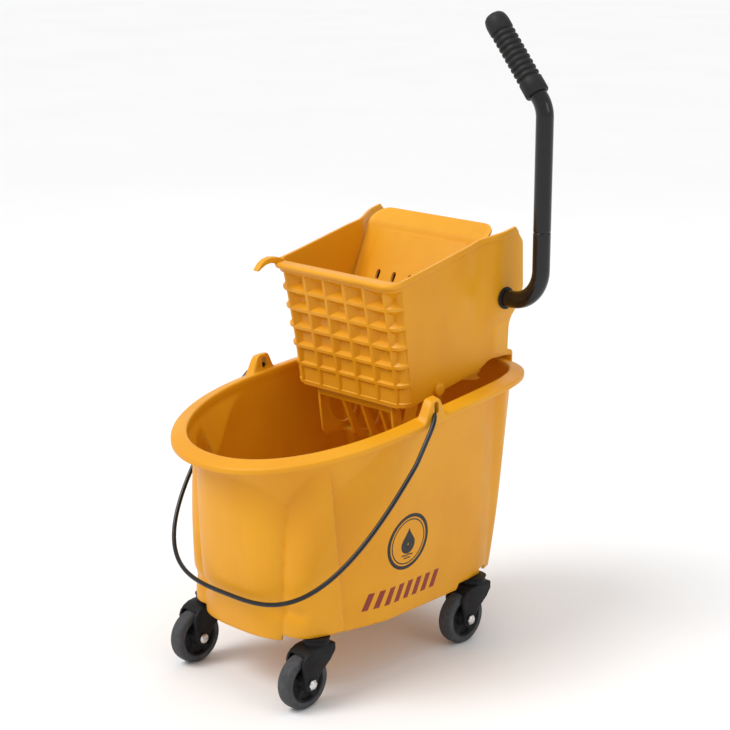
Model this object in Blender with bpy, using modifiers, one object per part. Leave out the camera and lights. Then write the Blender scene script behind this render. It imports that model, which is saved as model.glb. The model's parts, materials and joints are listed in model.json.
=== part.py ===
"""Mop bucket on four swivel casters, with a lift-off side-press wringer.

Metres, +Z up, floor at z = 0. The rounded nose points to -Y, the wringer sits over the
rear, and the press handle stands on the +X side.
"""
import bpy
import bmesh
from math import atan2, cos, degrees, hypot, pi, radians, sin, sqrt
from mathutils import Matrix, Vector

GAP = 0.0003
FRAME_SHIFT = Vector((-0.00335, 0.0425, 0.0))

# Casters
WHEEL_R = 0.038
WHEEL_STEPS = 24
WHEEL_W = 0.022
AXLE_Z = WHEEL_R * cos(pi / WHEEL_STEPS)
TRAIL = 0.026
CASTER_XY = {"front_left": (-0.107, -0.201), "front_right": (0.107, -0.201),
             "rear_left": (-0.112, 0.105), "rear_right": (0.112, 0.105)}
WELL_TOP = 0.0935
WELL_R = 0.045
BOSS_R = 0.014
SOCKET_R = 0.0185
FORK_TOP = 0.0915
FORK_W = 0.036
AXLE_R = 0.004

# Bucket
BASE_Z = 0.085
UNDERSIDE_Z = 0.108
SKIRT_T = 0.004
FLOOR_T = 0.004
WALL = 0.0035
CENTRE_Y = -0.075
RIM = {"half": 0.1556, "front": 0.2077, "rear": 0.2672, "n_front": 2.15, "n_rear": 5.0}
BASE = {"half": 0.126, "front": 0.172, "rear": 0.250, "n_front": 4.2, "n_rear": 6.0}
RING_POINTS = 60
RIM_BAND = 0.0145
RIM_OUT = 0.019
RIM_REAR = CENTRE_Y + RIM["rear"] + RIM_OUT
LUG_Y = -0.044
BAIL_Z = 0.3795
LUG_TOP = 0.397
LUG_IN = 0.157
LUG_OUT = 0.173

# Bail
BAIL_R = 0.0032
BAIL_HALF = 0.188
BAIL_REACH = 0.325
BAIL_DROP = radians(47.5)
BAIL_POWER = 3.2

# Wringer
FRONT_TOP = (-0.065, 0.536)
FRONT_FOOT = (-0.030, 0.361)
HALF_TOP = 0.1140
HALF_FOOT = 0.1060
SIDE_T = 0.0035
FRONT_T = 0.015
REAR_Y = 0.176
SEAT_Z = 0.390
CORNER_R = 0.014
POCKET_COLS = 5
POCKET_ROWS = 6
POCKET_DEPTH = 0.0125
POCKET_RIB = 0.004
CORNER_POCKET = 0.0205
GRATE_RIBS = (-0.070, -0.0235, 0.0115, 0.0465, 0.070)
GRATE_RIB_T = 0.004
SHAFT_YZ = (0.150, 0.490)
SHAFT_R = 0.010
BUSHING_R = 0.0132
EAR_R = 0.020
EAR_FOOT_R = 0.027
EAR_OUT = 0.012
PIVOT_YZ = (0.0309, 0.3807)
PIVOT_R = 0.003
PLATE_LEAN = radians(26.0)
PLATE_LEN = 0.2135
PLATE_FOOT_HALF = 0.0985
PLATE_HALF = 0.1095
PLATE_BAND = 0.028
BAND_LEAN = radians(32.0)
PLATE_T = 0.004
GEAR_X = 0.084
GEAR_T = 0.007
DRIVE_TEETH = 36

# Handle
TUBE_R = 0.012
TUBE_T = 0.0016
TUBE_X = 0.185
ELBOW_R = 0.048
SEAM_Z = 0.590
BEND_Z = 0.743
BEND_R = 0.040
GRIP_TILT = radians(39.0)
GRIP_R = 0.0165
GRIP_LEN = 0.135

YELLOW = ("yellow_plastic", (0.80, 0.40, 0.045), 0.42, 0.0)
BLACK = ("black_plastic", (0.022, 0.022, 0.024), 0.45, 0.0)
TREAD = ("grey_tread", (0.055, 0.057, 0.062), 0.75, 0.0)
RUBBER = ("black_rubber", (0.018, 0.018, 0.019), 0.65, 0.0)
STEEL = ("zinc_steel", (0.62, 0.62, 0.63), 0.35, 1.0)
BLACK_STEEL = ("black_steel", (0.02, 0.02, 0.021), 0.28, 0.6)

for old in list(bpy.data.objects):
    bpy.data.objects.remove(old, do_unlink=True)

scene_root = bpy.context.scene.collection
parts = bpy.data.collections.new("mop_bucket")
cutters = bpy.data.collections.new("cutters")
scene_root.children.link(parts)
scene_root.children.link(cutters)

# Axes for shapes whose outline lies in the side view: local x -> Y, y -> Z, z -> X
SIDE_VIEW = Matrix(((0, 0, 1, 0), (1, 0, 0, 0), (0, 1, 0, 0), (0, 0, 0, 1)))


def material(spec):
    """Return the named Principled material, made once."""
    name, colour, roughness, metallic = spec
    found = bpy.data.materials.get(name)
    if found:
        return found
    made = bpy.data.materials.new(name)
    made.use_nodes = True
    shader = made.node_tree.nodes["Principled BSDF"]
    shader.inputs["Base Color"].default_value = (*colour, 1.0)
    shader.inputs["Roughness"].default_value = roughness
    shader.inputs["Metallic"].default_value = metallic
    return made


def add_object(name, mesh, spec=None, smooth=False):
    """Link a mesh as a part, or as a hidden cutter when it has no material."""
    obj = bpy.data.objects.new(name, mesh)
    if spec:
        parts.objects.link(obj)
        mesh.materials.append(material(spec))
    else:
        cutters.objects.link(obj)
        obj.hide_render = True
        obj.display_type = "WIRE"
    if smooth:
        mesh.shade_smooth()
        mesh.set_sharp_from_angle(angle=radians(35))
    return obj


def combine(obj, tool, operation="DIFFERENCE"):
    """Cut a tool out of a part, or join or intersect the two."""
    modifier = obj.modifiers.new(tool.name, "BOOLEAN")
    modifier.operation = operation
    modifier.object = tool


def face_outward(bm):
    """Make every face of one closed body point out."""
    bmesh.ops.recalc_face_normals(bm, faces=bm.faces)
    if bm.calc_volume(signed=True) < 0:
        bmesh.ops.reverse_faces(bm, faces=bm.faces)


def curve_to_mesh(name, curve, matrix, spec, smooth=False):
    """Turn a filled curve into a welded mesh object."""
    temp = bpy.data.objects.new("temp_curve", curve)
    scene_root.objects.link(temp)
    bpy.context.view_layer.update()
    evaluated = temp.evaluated_get(bpy.context.evaluated_depsgraph_get())
    mesh = bpy.data.meshes.new_from_object(evaluated)
    bpy.data.objects.remove(temp, do_unlink=True)
    mesh.name = name
    bm = bmesh.new()
    bm.from_mesh(mesh)
    bmesh.ops.remove_doubles(bm, verts=bm.verts, dist=1e-5)
    bm.transform(matrix)
    face_outward(bm)
    bm.to_mesh(mesh)
    bm.free()
    return add_object(name, mesh, spec, smooth)


def outline_solid(name, points, low, high, spec=None, matrix=SIDE_VIEW, smooth=False):
    """Extrude a flat outline between two distances along the view's normal."""
    curve = bpy.data.curves.new(name, "CURVE")
    curve.dimensions = "2D"
    curve.fill_mode = "BOTH"
    curve.extrude = (high - low) / 2
    spline = curve.splines.new("POLY")
    spline.points.add(len(points) - 1)
    for point, (u, v) in zip(spline.points, points):
        point.co = (u, v, 0, 1)
    spline.use_cyclic_u = True
    place = matrix @ Matrix.Translation((0, 0, (low + high) / 2))
    return curve_to_mesh(name, curve, place, spec, smooth)


def rod(name, points, radius, spec, resolution=4):
    """A round bar along a list of points."""
    curve = bpy.data.curves.new(name, "CURVE")
    curve.dimensions = "3D"
    curve.bevel_depth = radius
    curve.bevel_resolution = resolution
    curve.use_fill_caps = True
    spline = curve.splines.new("POLY")
    spline.points.add(len(points) - 1)
    for point, xyz in zip(spline.points, points):
        point.co = (*xyz, 1)
    return curve_to_mesh(name, curve, Matrix(), spec, True)


def arc(centre, radius, start, stop, count):
    """Points on an arc in a plane, angles in degrees."""
    steps = [radians(start + (stop - start) * i / count) for i in range(count + 1)]
    return [(centre[0] + radius * cos(a), centre[1] + radius * sin(a)) for a in steps]


def turned(name, profile, steps, matrix, spec=None, ring=False):
    """A profile of (radius, height) points turned about local Z."""
    bm = bmesh.new()
    verts = [bm.verts.new((r, 0, z)) for r, z in profile]
    pairs = list(zip(verts, verts[1:]))
    if ring:
        pairs.append((verts[-1], verts[0]))
    for a, b in pairs:
        bm.edges.new((a, b))
    mesh = bpy.data.meshes.new(name)
    bm.to_mesh(mesh)
    bm.free()
    obj = add_object(name, mesh, spec)
    screw = obj.modifiers.new("turn", "SCREW")
    screw.steps = steps
    screw.render_steps = steps
    screw.use_merge_vertices = True
    screw.merge_threshold = 1e-5
    screw.use_smooth_shade = True
    obj.matrix_world = matrix
    return obj


def along_x(x, y, z, turn=0.0):
    """Local Z along world X, the profile starting straight down."""
    across = Matrix.Rotation(pi / 2, 4, "Y")
    return Matrix.Translation((x, y, z)) @ across @ Matrix.Rotation(turn, 4, "Z")


def drum(name, radius, x0, x1, yz, steps=24, spec=None):
    """A plain cylinder along X."""
    profile = [(0, x1), (radius, x1), (radius, x0), (0, x0)]
    return turned(name, profile, steps, along_x(0, yz[0], yz[1]), spec)


def ring(name, inner, outer, x0, x1, yz, steps, spec, turn=0.0):
    """A plain ring along X."""
    profile = [(outer, x1), (outer, x0), (inner, x0), (inner, x1)]
    return turned(name, profile, steps, along_x(0, yz[0], yz[1], turn), spec, ring=True)


def block(name, low, high, spec=None):
    """A box between two corners."""
    bm = bmesh.new()
    bmesh.ops.create_cube(bm, size=1.0)
    centre = (Vector(low) + Vector(high)) / 2
    size = Vector(high) - Vector(low)
    bm.transform(Matrix.Translation(centre) @ Matrix.Diagonal((*size, 1)))
    mesh = bpy.data.meshes.new(name)
    bm.to_mesh(mesh)
    bm.free()
    return add_object(name, mesh, spec)


def loft(name, rings, spec=None, smooth=False):
    """Skin closed rings of equal length from first to last, and cap both ends."""
    bm = bmesh.new()
    rows = [[bm.verts.new(p) for p in points] for points in rings]
    count = len(rows[0])
    for lower, upper in zip(rows, rows[1:]):
        for i in range(count):
            j = (i + 1) % count
            bm.faces.new((lower[i], lower[j], upper[j], upper[i]))
    bm.faces.new(list(reversed(rows[0])))
    bm.faces.new(rows[-1])
    face_outward(bm)
    mesh = bpy.data.meshes.new(name)
    bm.to_mesh(mesh)
    bm.free()
    return add_object(name, mesh, spec, smooth)


# ---------------------------------------------------------------- bucket

def rim_height(y):
    """The rim climbs from the nose towards the rear."""
    run = y + 0.098
    return 0.366 + 0.125 * run - 0.17 * run * run


def plan(shape, grow):
    """Evenly spaced plan outline: elliptical nose, squarer rear, from the nose round +X."""
    dense = []
    total = 720
    for i in range(total):
        angle = -pi / 2 + 2 * pi * i / total
        c = cos(angle)
        s = sin(angle)
        power = 2 / (shape["n_front"] if s < 0 else shape["n_rear"])
        reach = (shape["front"] if s < 0 else shape["rear"]) + grow
        y = CENTRE_Y + (reach if s > 0 else -reach) * abs(s) ** power
        half = shape["half"] + grow - 0.035 * max(0.0, y - CENTRE_Y)
        x = (half if c > 0 else -half) * abs(c) ** power
        dense.append(Vector((x, y)))
    lengths = [0.0]
    for a, b in zip(dense, dense[1:] + dense[:1]):
        lengths.append(lengths[-1] + (b - a).length)
    points = []
    k = 0
    for i in range(RING_POINTS):
        target = lengths[-1] * i / RING_POINTS
        while lengths[k + 1] < target:
            k += 1
        share = (target - lengths[k]) / (lengths[k + 1] - lengths[k])
        points.append(dense[k].lerp(dense[(k + 1) % total], share))
    return points


def between(low, high, share):
    return {key: low[key] + (high[key] - low[key]) * share for key in low}


def wall_ring(share, inset):
    """One ring of the wall, from the base (0) to under the rim band (1)."""
    points = []
    for p in plan(between(BASE, RIM, share), -inset):
        top = rim_height(p.y) - RIM_BAND
        bottom = UNDERSIDE_Z + FLOOR_T if inset else BASE_Z
        points.append((p.x, p.y, bottom + (top - bottom) * share))
    return points


def rim_ring(grow, drop):
    return [(p.x, p.y, rim_height(p.y) - drop) for p in plan(RIM, grow)]


def make_bucket():
    """The shell with its rolled rim, bail lugs, recessed underside and caster wells."""
    shares = (0.0, 0.06, 0.25, 0.5, 0.75)
    skirt = plan(BASE, -SKIRT_T)
    rings = [[(p.x, p.y, z) for p in skirt] for z in (UNDERSIDE_Z, BASE_Z)]
    rings += [wall_ring(s, 0) for s in shares]
    rings += [rim_ring(0, RIM_BAND), rim_ring(RIM_OUT, RIM_BAND - 0.002)]
    rings += [rim_ring(RIM_OUT, 0.004), rim_ring(RIM_OUT - 0.004, 0)]
    rings += [rim_ring(0, 0), rim_ring(-WALL, 0.005)]
    rings += [wall_ring(s, WALL) for s in reversed(shares)]
    shell = loft("bucket_shell", rings, YELLOW, smooth=True)
    for side in (-1, 1):
        lug = [(LUG_Y - 0.026, 0.362), (LUG_Y + 0.022, 0.362), (LUG_Y + 0.008, LUG_TOP)]
        lug += [(LUG_Y - 0.008, LUG_TOP)]
        spans = sorted((side * LUG_IN, side * LUG_OUT))
        combine(shell, outline_solid(f"lug_{side}", lug, *spans), "UNION")
        hole = sorted((side * 0.148, side * 0.185))
        combine(shell, drum(f"bail_hole_{side}", BAIL_R + 0.0010, *hole, (LUG_Y, BAIL_Z), 16))
    for corner, (x, y) in CASTER_XY.items():
        place = Matrix.Translation((x, y, 0))
        profile = [(0, UNDERSIDE_Z + 0.002), (BOSS_R, UNDERSIDE_Z + 0.002), (BOSS_R, 0.088), (0, 0.088)]
        combine(shell, turned(f"boss_{corner}", profile, 20, place), "UNION")
    for corner, (x, y) in CASTER_XY.items():
        place = Matrix.Translation((x, y, 0))
        profile = [(0, WELL_TOP), (WELL_R, WELL_TOP), (WELL_R, 0.07), (0, 0.07)]
        combine(shell, turned(f"well_{corner}", profile, 28, place))
    return shell


def make_bail():
    """The wire hangs from the lugs, forward and down in front of the nose."""
    direction = Vector((0, -cos(BAIL_DROP), -sin(BAIL_DROP)))
    start = Vector((0, LUG_Y, BAIL_Z))
    points = []
    count = 26
    power = 2 / BAIL_POWER
    for i in range(count + 1):
        angle = pi * i / count
        reach = BAIL_REACH * abs(sin(angle)) ** power
        half = BAIL_HALF * (1 - 0.055 * max(0.0, 1 - reach / 0.08))
        x = half * (1 if cos(angle) > 0 else -1) * abs(cos(angle)) ** power
        points.append(start + Vector((x, 0, 0)) + direction * reach)
    first = Vector((LUG_IN + 0.0015, LUG_Y, BAIL_Z))
    last = Vector((-LUG_IN - 0.0015, LUG_Y, BAIL_Z))
    return rod("bail_wire", [first] + points + [last], BAIL_R, BLACK_STEEL, 2)


# --------------------------------------------------------------- casters

def make_caster(corner, x, y):
    """Socket, fork, wheel and axle hardware. The wheel trails towards -Y."""
    axle_y = y - TRAIL
    cup = [(0, WELL_TOP - GAP), (SOCKET_R, WELL_TOP - GAP), (SOCKET_R, FORK_TOP + GAP)]
    cup += [(0, FORK_TOP + GAP)]
    turned(f"caster_socket_{corner}", cup, 24, Matrix.Translation((x, y, 0)), BLACK)

    side = [(y + 0.019, FORK_TOP), (y - 0.016, FORK_TOP), (y - 0.025, 0.0845)]
    side += [(y - 0.039, 0.0780), (y - 0.050, 0.066)]
    side += arc((axle_y, AXLE_Z), 0.011, 205, 335, 4)
    side += [(y + 0.019, 0.072)]
    fork = outline_solid(f"caster_fork_{corner}", side, x - FORK_W / 2, x + FORK_W / 2, BLACK)
    slot = WHEEL_W / 2 + 0.0025
    low = (x - slot, y - 0.080, -0.01)
    high = (x + slot, y + 0.080, AXLE_Z + WHEEL_R + 0.003)
    combine(fork, block(f"fork_slot_{corner}", low, high))
    axle = (axle_y, AXLE_Z)
    hole = drum(f"fork_bore_{corner}", AXLE_R + GAP, x - 0.03, x + 0.03, axle, 16)
    combine(fork, hole)

    half = WHEEL_W / 2
    turn = pi / WHEEL_STEPS
    tread = [(WHEEL_R - 0.004, x + half), (WHEEL_R, x + half - 0.005), (WHEEL_R, x - half + 0.005)]
    tread += [(WHEEL_R - 0.004, x - half), (0.0275, x - half), (0.0275, x + half)]
    place = along_x(0, axle_y, AXLE_Z, turn)
    turned(f"wheel_tread_{corner}", tread, WHEEL_STEPS, place, TREAD, ring=True)
    hub = [(0.0272, x + 0.009), (0.0272, x - 0.009), (0.011, x - 0.0065)]
    hub += [(0.0095, x - half - 0.001), (AXLE_R + GAP, x - half - 0.001)]
    hub += [(AXLE_R + GAP, x + half + 0.001), (0.0095, x + half + 0.001), (0.011, x + 0.0065)]
    turned(f"wheel_hub_{corner}", hub, WHEEL_STEPS, place, BLACK, ring=True)

    cheek = FORK_W / 2 + GAP
    outward = 1 if x > 0 else -1
    nut_end = outward * (cheek + 0.0055)
    head_end = -outward * (cheek + 0.0040)
    shank_end = outward * (cheek + 0.0075)
    shaft = sorted((x - outward * cheek, x + shank_end))
    bolt = drum(f"axle_bolt_{corner}", AXLE_R, *shaft, axle, 16, STEEL)
    head = sorted((x - outward * (cheek - 0.0001), x + head_end))
    combine(bolt, drum(f"bolt_head_{corner}", 0.0068, *head, axle, 6), "UNION")
    nut = sorted((x + outward * cheek, x + nut_end))
    ring(f"axle_nut_{corner}", AXLE_R + 0.0009, 0.0075, *nut, axle, 6, STEEL)


# --------------------------------------------------------------- wringer

def front_y(z):
    """The front face leans forward towards its top."""
    slope = (FRONT_TOP[0] - FRONT_FOOT[0]) / (FRONT_TOP[1] - FRONT_FOOT[1])
    return FRONT_FOOT[0] + slope * (z - FRONT_FOOT[1])


def half_width(z):
    slope = (HALF_TOP - HALF_FOOT) / (FRONT_TOP[1] - FRONT_FOOT[1])
    return HALF_FOOT + slope * (z - FRONT_FOOT[1])


def section(z, inset, front_inset, rear_y, corner):
    """A level section of the housing: front corners rounded, rear corners square."""
    half = half_width(z) - inset
    front = front_y(z) + front_inset
    points = [(x, y) for x, y in arc((half - corner, front + corner), corner, -90, 0, 4)]
    points += [(half, rear_y), (-half, rear_y)]
    points += arc((-half + corner, front + corner), corner, 180, 270, 4)
    return [(x, y, z) for x, y in points]


def make_housing():
    """A tapered chamber, open above, below and behind, with a pocketed front and two ears."""
    outer = [section(z, 0, 0, 0.200, CORNER_R) for z in (0.330, 0.620)]
    housing = loft("wringer_housing", outer, YELLOW)
    # Side view of the walls. It starts and ends just in front of the front face, so that
    # the level sections alone shape that face.
    side = [(FRONT_FOOT[0] - 0.010, FRONT_FOOT[1]), (0.116, 0.390), (0.136, 0.402), (REAR_Y, 0.402)]
    side += [(REAR_Y - 0.002, 0.462), (0.188, 0.500), (0.182, 0.566), (0.162, 0.588), (0.108, 0.576)]
    side += [(-0.015, 0.549), (FRONT_TOP[0] - 0.010, FRONT_TOP[1] - 0.002)]
    combine(housing, outline_solid("housing_profile", side, -0.2, 0.2), "INTERSECT")
    inner = [section(z, SIDE_T, FRONT_T, 0.230, 0.008) for z in (0.320, 0.630)]
    combine(housing, loft("housing_cavity", inner))
    combine(housing, waffle_cutter())
    for side_x in (-1, 1):
        wall = half_width(SHAFT_YZ[1])
        spans = sorted((side_x * (wall - 0.002), side_x * (wall + EAR_OUT)))
        place = along_x(0, *SHAFT_YZ)
        # The ear is a cone, wide at the wall and narrow outside
        boss_r = (EAR_FOOT_R, EAR_R) if side_x > 0 else (EAR_R, EAR_FOOT_R)
        profile = [(0, spans[1]), (boss_r[1], spans[1]), (boss_r[0], spans[0]), (0, spans[0])]
        combine(housing, turned(f"ear_{side_x}", profile, 24, place), "UNION")
        bore = sorted((side_x * 0.09, side_x * 0.14))
        combine(housing, drum(f"ear_bore_{side_x}", BUSHING_R + GAP, *bore, SHAFT_YZ, 20))
        bore = sorted((side_x * 0.09, side_x * 0.12))
        combine(housing, drum(f"pin_bore_{side_x}", PIVOT_R + GAP, *bore, PIVOT_YZ, 12))
    tie_half = half_width(0.41) - 0.001
    tie = block("rear_tie", (-tie_half, REAR_Y - 0.006, 0.403), (tie_half, REAR_Y - 0.003, 0.424))
    combine(housing, tie, "UNION")
    lip = [(-0.051, 0.5395), (-0.054, 0.542), (-0.067, 0.539), (-0.071, 0.534), (-0.071, 0.529)]
    lip += [(-0.061, 0.529)]
    combine(housing, outline_solid("front_lip", lip, -0.1125, 0.1125), "UNION")
    hook = [(-0.060, 0.545), (-0.077, 0.548), (-0.092, 0.544), (-0.103, 0.533), (-0.099, 0.531)]
    hook += [(-0.089, 0.538), (-0.077, 0.541), (-0.060, 0.534)]
    combine(housing, outline_solid("hook", hook, -0.1135, -0.1035), "UNION")
    return housing


def pocket(bm, place, width, height, depth):
    """One pyramid pocket, opening towards -Y where it is placed."""
    inward = Matrix.Rotation(-pi / 2, 4, "X")
    size = Matrix.Diagonal((width, height, 1, 1))
    sink = Matrix.Translation((0, 0, depth / 2))
    square = Matrix.Rotation(pi / 4, 4, "Z")
    bmesh.ops.create_cone(bm, cap_ends=True, segments=4, radius1=sqrt(0.5), radius2=0.12,
                          depth=depth, matrix=place @ inward @ size @ sink @ square)


def waffle_cutter():
    """Rows of pockets in the front face, each row ending in one that turns the corner."""
    bm = bmesh.new()
    foot = FRONT_FOOT[1] + 0.004
    row_step = (FRONT_TOP[1] - 0.009 - foot) / POCKET_ROWS
    height = row_step - POCKET_RIB
    lean = Matrix.Rotation(-atan2(FRONT_TOP[0] - FRONT_FOOT[0], FRONT_TOP[1] - FRONT_FOOT[1]), 4, "X")
    for row in range(POCKET_ROWS):
        z = foot + row_step * (row + 0.5)
        half = half_width(z)
        front = front_y(z)
        col_step = 2 * (half - CORNER_POCKET) / POCKET_COLS
        for col in range(POCKET_COLS):
            x = col_step * (col + 0.5 - POCKET_COLS / 2)
            place = Matrix.Translation((x, front - 0.0005, z)) @ lean
            pocket(bm, place, col_step - POCKET_RIB, height, POCKET_DEPTH)
        for side in (-1, 1):
            inset = CORNER_R * (1 - sqrt(0.5)) - 0.0004
            place = Matrix.Translation((side * (half - inset), front + inset, z))
            place = place @ Matrix.Rotation(side * pi / 4, 4, "Z") @ lean
            pocket(bm, place, 0.032, height, 0.011)
    mesh = bpy.data.meshes.new("waffle_pockets")
    bm.to_mesh(mesh)
    bm.free()
    return add_object("waffle_pockets", mesh)


def make_drain_grate():
    """A basket of U-shaped ribs under the chamber."""
    rim_z = 0.3605
    outer = [(-0.0225, rim_z), (-0.0195, 0.345)] + arc((0.030, 0.318), 0.034, 190, 330, 6)
    outer += [(0.086, rim_z + 0.012), (0.074, rim_z + 0.012)]
    inner = list(reversed(arc((0.030, 0.322), 0.024, 190, 330, 6)))
    outline = outer + [(0.068, rim_z)] + inner + [(-0.011, 0.348), (-0.0105, rim_z)]
    grate = None
    for i, x in enumerate(GRATE_RIBS):
        name = "drain_grate" if grate is None else f"rib_{i}"
        spec = YELLOW if grate is None else None
        rib = outline_solid(name, outline, x - GRATE_RIB_T / 2, x + GRATE_RIB_T / 2, spec)
        if grate is None:
            grate = rib
        else:
            combine(grate, rib, "UNION")
    reach = GRATE_RIBS[-1] + GRATE_RIB_T / 2 + 0.0005
    for name, y, z, width, height in (("bar_front", -0.0165, 0.3545, 0.008, 0.0115),
                                      ("bar_rear", 0.076, 0.366, 0.008, 0.010),
                                      ("bar_low", 0.030, 0.289, 0.012, 0.006)):
        low = (-reach, y - width / 2, z - height / 2)
        high = (reach, y + width / 2, z + height / 2)
        combine(grate, block(name, low, high), "UNION")
    return grate


def plate_frame():
    """Local frame of the press plate: origin on its hinge axis, local z up the plate."""
    origin = Matrix.Translation((0, *PIVOT_YZ))
    return origin @ Matrix.Rotation(-PLATE_LEAN, 4, "X")


def make_press_plate():
    """A flat plate with its top band bent back, stiffening ribs and drain slots."""
    front_view = Matrix(((1, 0, 0, 0), (0, 0, -1, 0), (0, 1, 0, 0), (0, 0, 0, 1)))
    outline = [(-PLATE_FOOT_HALF, 0.0095), (PLATE_FOOT_HALF, 0.0095), (PLATE_HALF, PLATE_LEN)]
    outline += [(-PLATE_HALF, PLATE_LEN)]
    plate = outline_solid("press_plate", outline, -PLATE_T, 0, YELLOW, front_view)
    corner = 0.022
    across = PLATE_HALF - corner
    band = [(-PLATE_HALF, -0.002), (PLATE_HALF, -0.002)]
    band += arc((across, PLATE_BAND - corner), corner, 0, 90, 5)
    band += arc((-across, PLATE_BAND - corner), corner, 90, 180, 5)
    bent = Matrix.Translation((0, 0, PLATE_LEN)) @ Matrix.Rotation(-BAND_LEAN, 4, "X") @ front_view
    tools = [outline_solid("plate_band", band, -PLATE_T, 0, None, bent)]
    for i, x in enumerate((-0.045, -0.015, 0.015, 0.045)):
        high = (x + 0.002, 0.011, PLATE_LEN - 0.001)
        tools.append(block(f"plate_rib_{i}", (x - 0.002, -0.001, 0.022), high))
    barrel = [(0, 0.070), (0.0075, 0.070), (0.0075, -0.070), (0, -0.070)]
    tools.append(turned("plate_barrel", barrel, 16, along_x(0, 0, 0)))
    tools.append(block("plate_neck", (-0.0695, -0.0010, 0.003), (0.0695, 0.0037, 0.012)))
    for tool in tools:
        combine(plate, tool, "UNION")
    for row in range(4):
        for col in range(5):
            x = -0.060 + 0.030 * col
            z = 0.047 + 0.030 * row
            slot = block(f"slot_{row}_{col}", (x - 0.003, -0.02, z - 0.007), (x + 0.003, 0.02, z + 0.007))
            combine(plate, slot)
    combine(plate, drum("plate_bore", PIVOT_R + GAP, -0.1, 0.1, (0, 0), 12))
    plate.matrix_world = plate_frame()
    for modifier in plate.modifiers:
        modifier.object.matrix_world = plate_frame() @ modifier.object.matrix_world
    return plate


def gear_teeth(radius, count, start, stop, phase):
    """Outline points of trapezoid teeth between two angles, in degrees."""
    module = 2 * radius / count
    pitch = 360 / count
    first = round((start - phase) / pitch)
    last = round((stop - phase) / pitch)
    points = []
    for i in range(first, last + 1):
        middle = phase + i * pitch
        for offset, height in ((-0.27, -1.0), (-0.11, 0.8), (0.11, 0.8), (0.27, -1.0)):
            angle = radians(middle + offset * pitch)
            r = radius + height * module
            points.append((r * cos(angle), r * sin(angle)))
    return points


def make_gears():
    """Sector gears: one pair on the cross shaft, one pair on the press plate."""
    dy = SHAFT_YZ[0] - PIVOT_YZ[0]
    dz = SHAFT_YZ[1] - PIVOT_YZ[1]
    distance = hypot(dy, dz)
    drive_r = distance / 3
    mesh_at = degrees(atan2(dz, dy))
    pitch = 360 / DRIVE_TEETH
    for name, x in (("left", -GEAR_X), ("right", GEAR_X)):
        low = x - GEAR_T / 2
        high = x + GEAR_T / 2
        teeth = gear_teeth(drive_r, DRIVE_TEETH, mesh_at + 172, mesh_at + 268, mesh_at + 180)
        hub = arc((0, 0), 0.019, mesh_at + 290, mesh_at + 510, 10)
        outline = [(y + SHAFT_YZ[0], z + SHAFT_YZ[1]) for y, z in teeth + hub]
        gear = outline_solid(f"drive_gear_{name}", outline, low, high, BLACK)
        bore = drum(f"drive_bore_{name}", SHAFT_R + GAP, low - 0.01, high + 0.01, SHAFT_YZ, 24)
        combine(gear, bore)

        start = mesh_at - 46
        teeth = gear_teeth(2 * drive_r, 2 * DRIVE_TEETH, start, mesh_at + 5, mesh_at + pitch / 4)
        root = [(0.0085, 0.055), (0.0085, 0.010)]
        lean = Matrix.Rotation(-PLATE_LEAN, 4, "X")
        foot = [lean @ Vector((0, y, z)) for y, z in root]
        foot_points = [(p.y, p.z) for p in foot]
        crest = lean @ Vector((0, 0.0085, 0.098))
        outline = teeth + [(crest.y, crest.z)] + foot_points
        outline = [(y + PIVOT_YZ[0], z + PIVOT_YZ[1]) for y, z in outline]
        outline_solid(f"plate_sector_{name}", outline, low, high, YELLOW)


def make_hardware():
    """Shaft, bushings, hinge pin, clips, spring and rear hangers."""
    wall = half_width(SHAFT_YZ[1])
    drum("cross_shaft", SHAFT_R, -wall - 0.0198, wall + 0.0146, SHAFT_YZ, 24, STEEL)
    for name, side in (("left", -1), ("right", 1)):
        inner = SHAFT_R + 0.0002
        back = side * (wall - 0.006)
        flange = side * (wall + EAR_OUT + GAP)
        rim = side * (wall + 0.0145)
        if side > 0:
            profile = [(BUSHING_R, flange), (BUSHING_R, back), (inner, back), (inner, rim), (0.0155, rim)]
            profile += [(0.0155, flange)]
        else:
            profile = [(inner, rim), (inner, back), (BUSHING_R, back), (BUSHING_R, flange)]
            profile += [(0.0155, flange), (0.0155, rim)]
        turned(f"shaft_bushing_{name}", profile, 16, along_x(0, *SHAFT_YZ), BLACK, ring=True)
    spans = (-wall - 0.0170, -wall - 0.0153)
    ring("shaft_retaining_ring", SHAFT_R + GAP, 0.0145, *spans, SHAFT_YZ, 16, STEEL)
    pin_end = half_width(PIVOT_YZ[1]) + 0.004
    drum("plate_hinge_pin", PIVOT_R, -pin_end, pin_end, PIVOT_YZ, 12, STEEL)
    for name, side in (("left", -1), ("right", 1)):
        spans = sorted((side * (pin_end - 0.0032), side * (pin_end - 0.0015)))
        ring(f"hinge_pin_clip_{name}", PIVOT_R + GAP, 0.0065, *spans, PIVOT_YZ, 12, STEEL)

    turns = 4
    count = turns * 10
    coil_r = 0.0135
    points = []
    for i in range(count + 1):
        angle = 2 * pi * i / 10
        x = 0.040 + 0.0036 * i / 10
        points.append((x, SHAFT_YZ[0] + coil_r * cos(angle), SHAFT_YZ[1] + coil_r * sin(angle)))
    rod("return_spring", points, 0.0013, STEEL, 1)

    for name, x in (("left", -0.070), ("right", 0.070)):
        back = REAR_Y - 0.003 + GAP
        hook = [(back, 0.400), (back, 0.422), (back + 0.004, 0.422), (back + 0.008, 0.4012)]
        hook += [(RIM_REAR + 0.0020, 0.3985), (RIM_REAR + 0.0055, 0.3940), (RIM_REAR + 0.0055, 0.366)]
        hook += [(RIM_REAR + 0.0025, 0.366), (RIM_REAR + 0.0020, 0.3900), (back, 0.3950)]
        outline_solid(f"rim_hanger_{name}", hook, x - 0.014, x + 0.014, YELLOW)


# ---------------------------------------------------------------- handle

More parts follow.
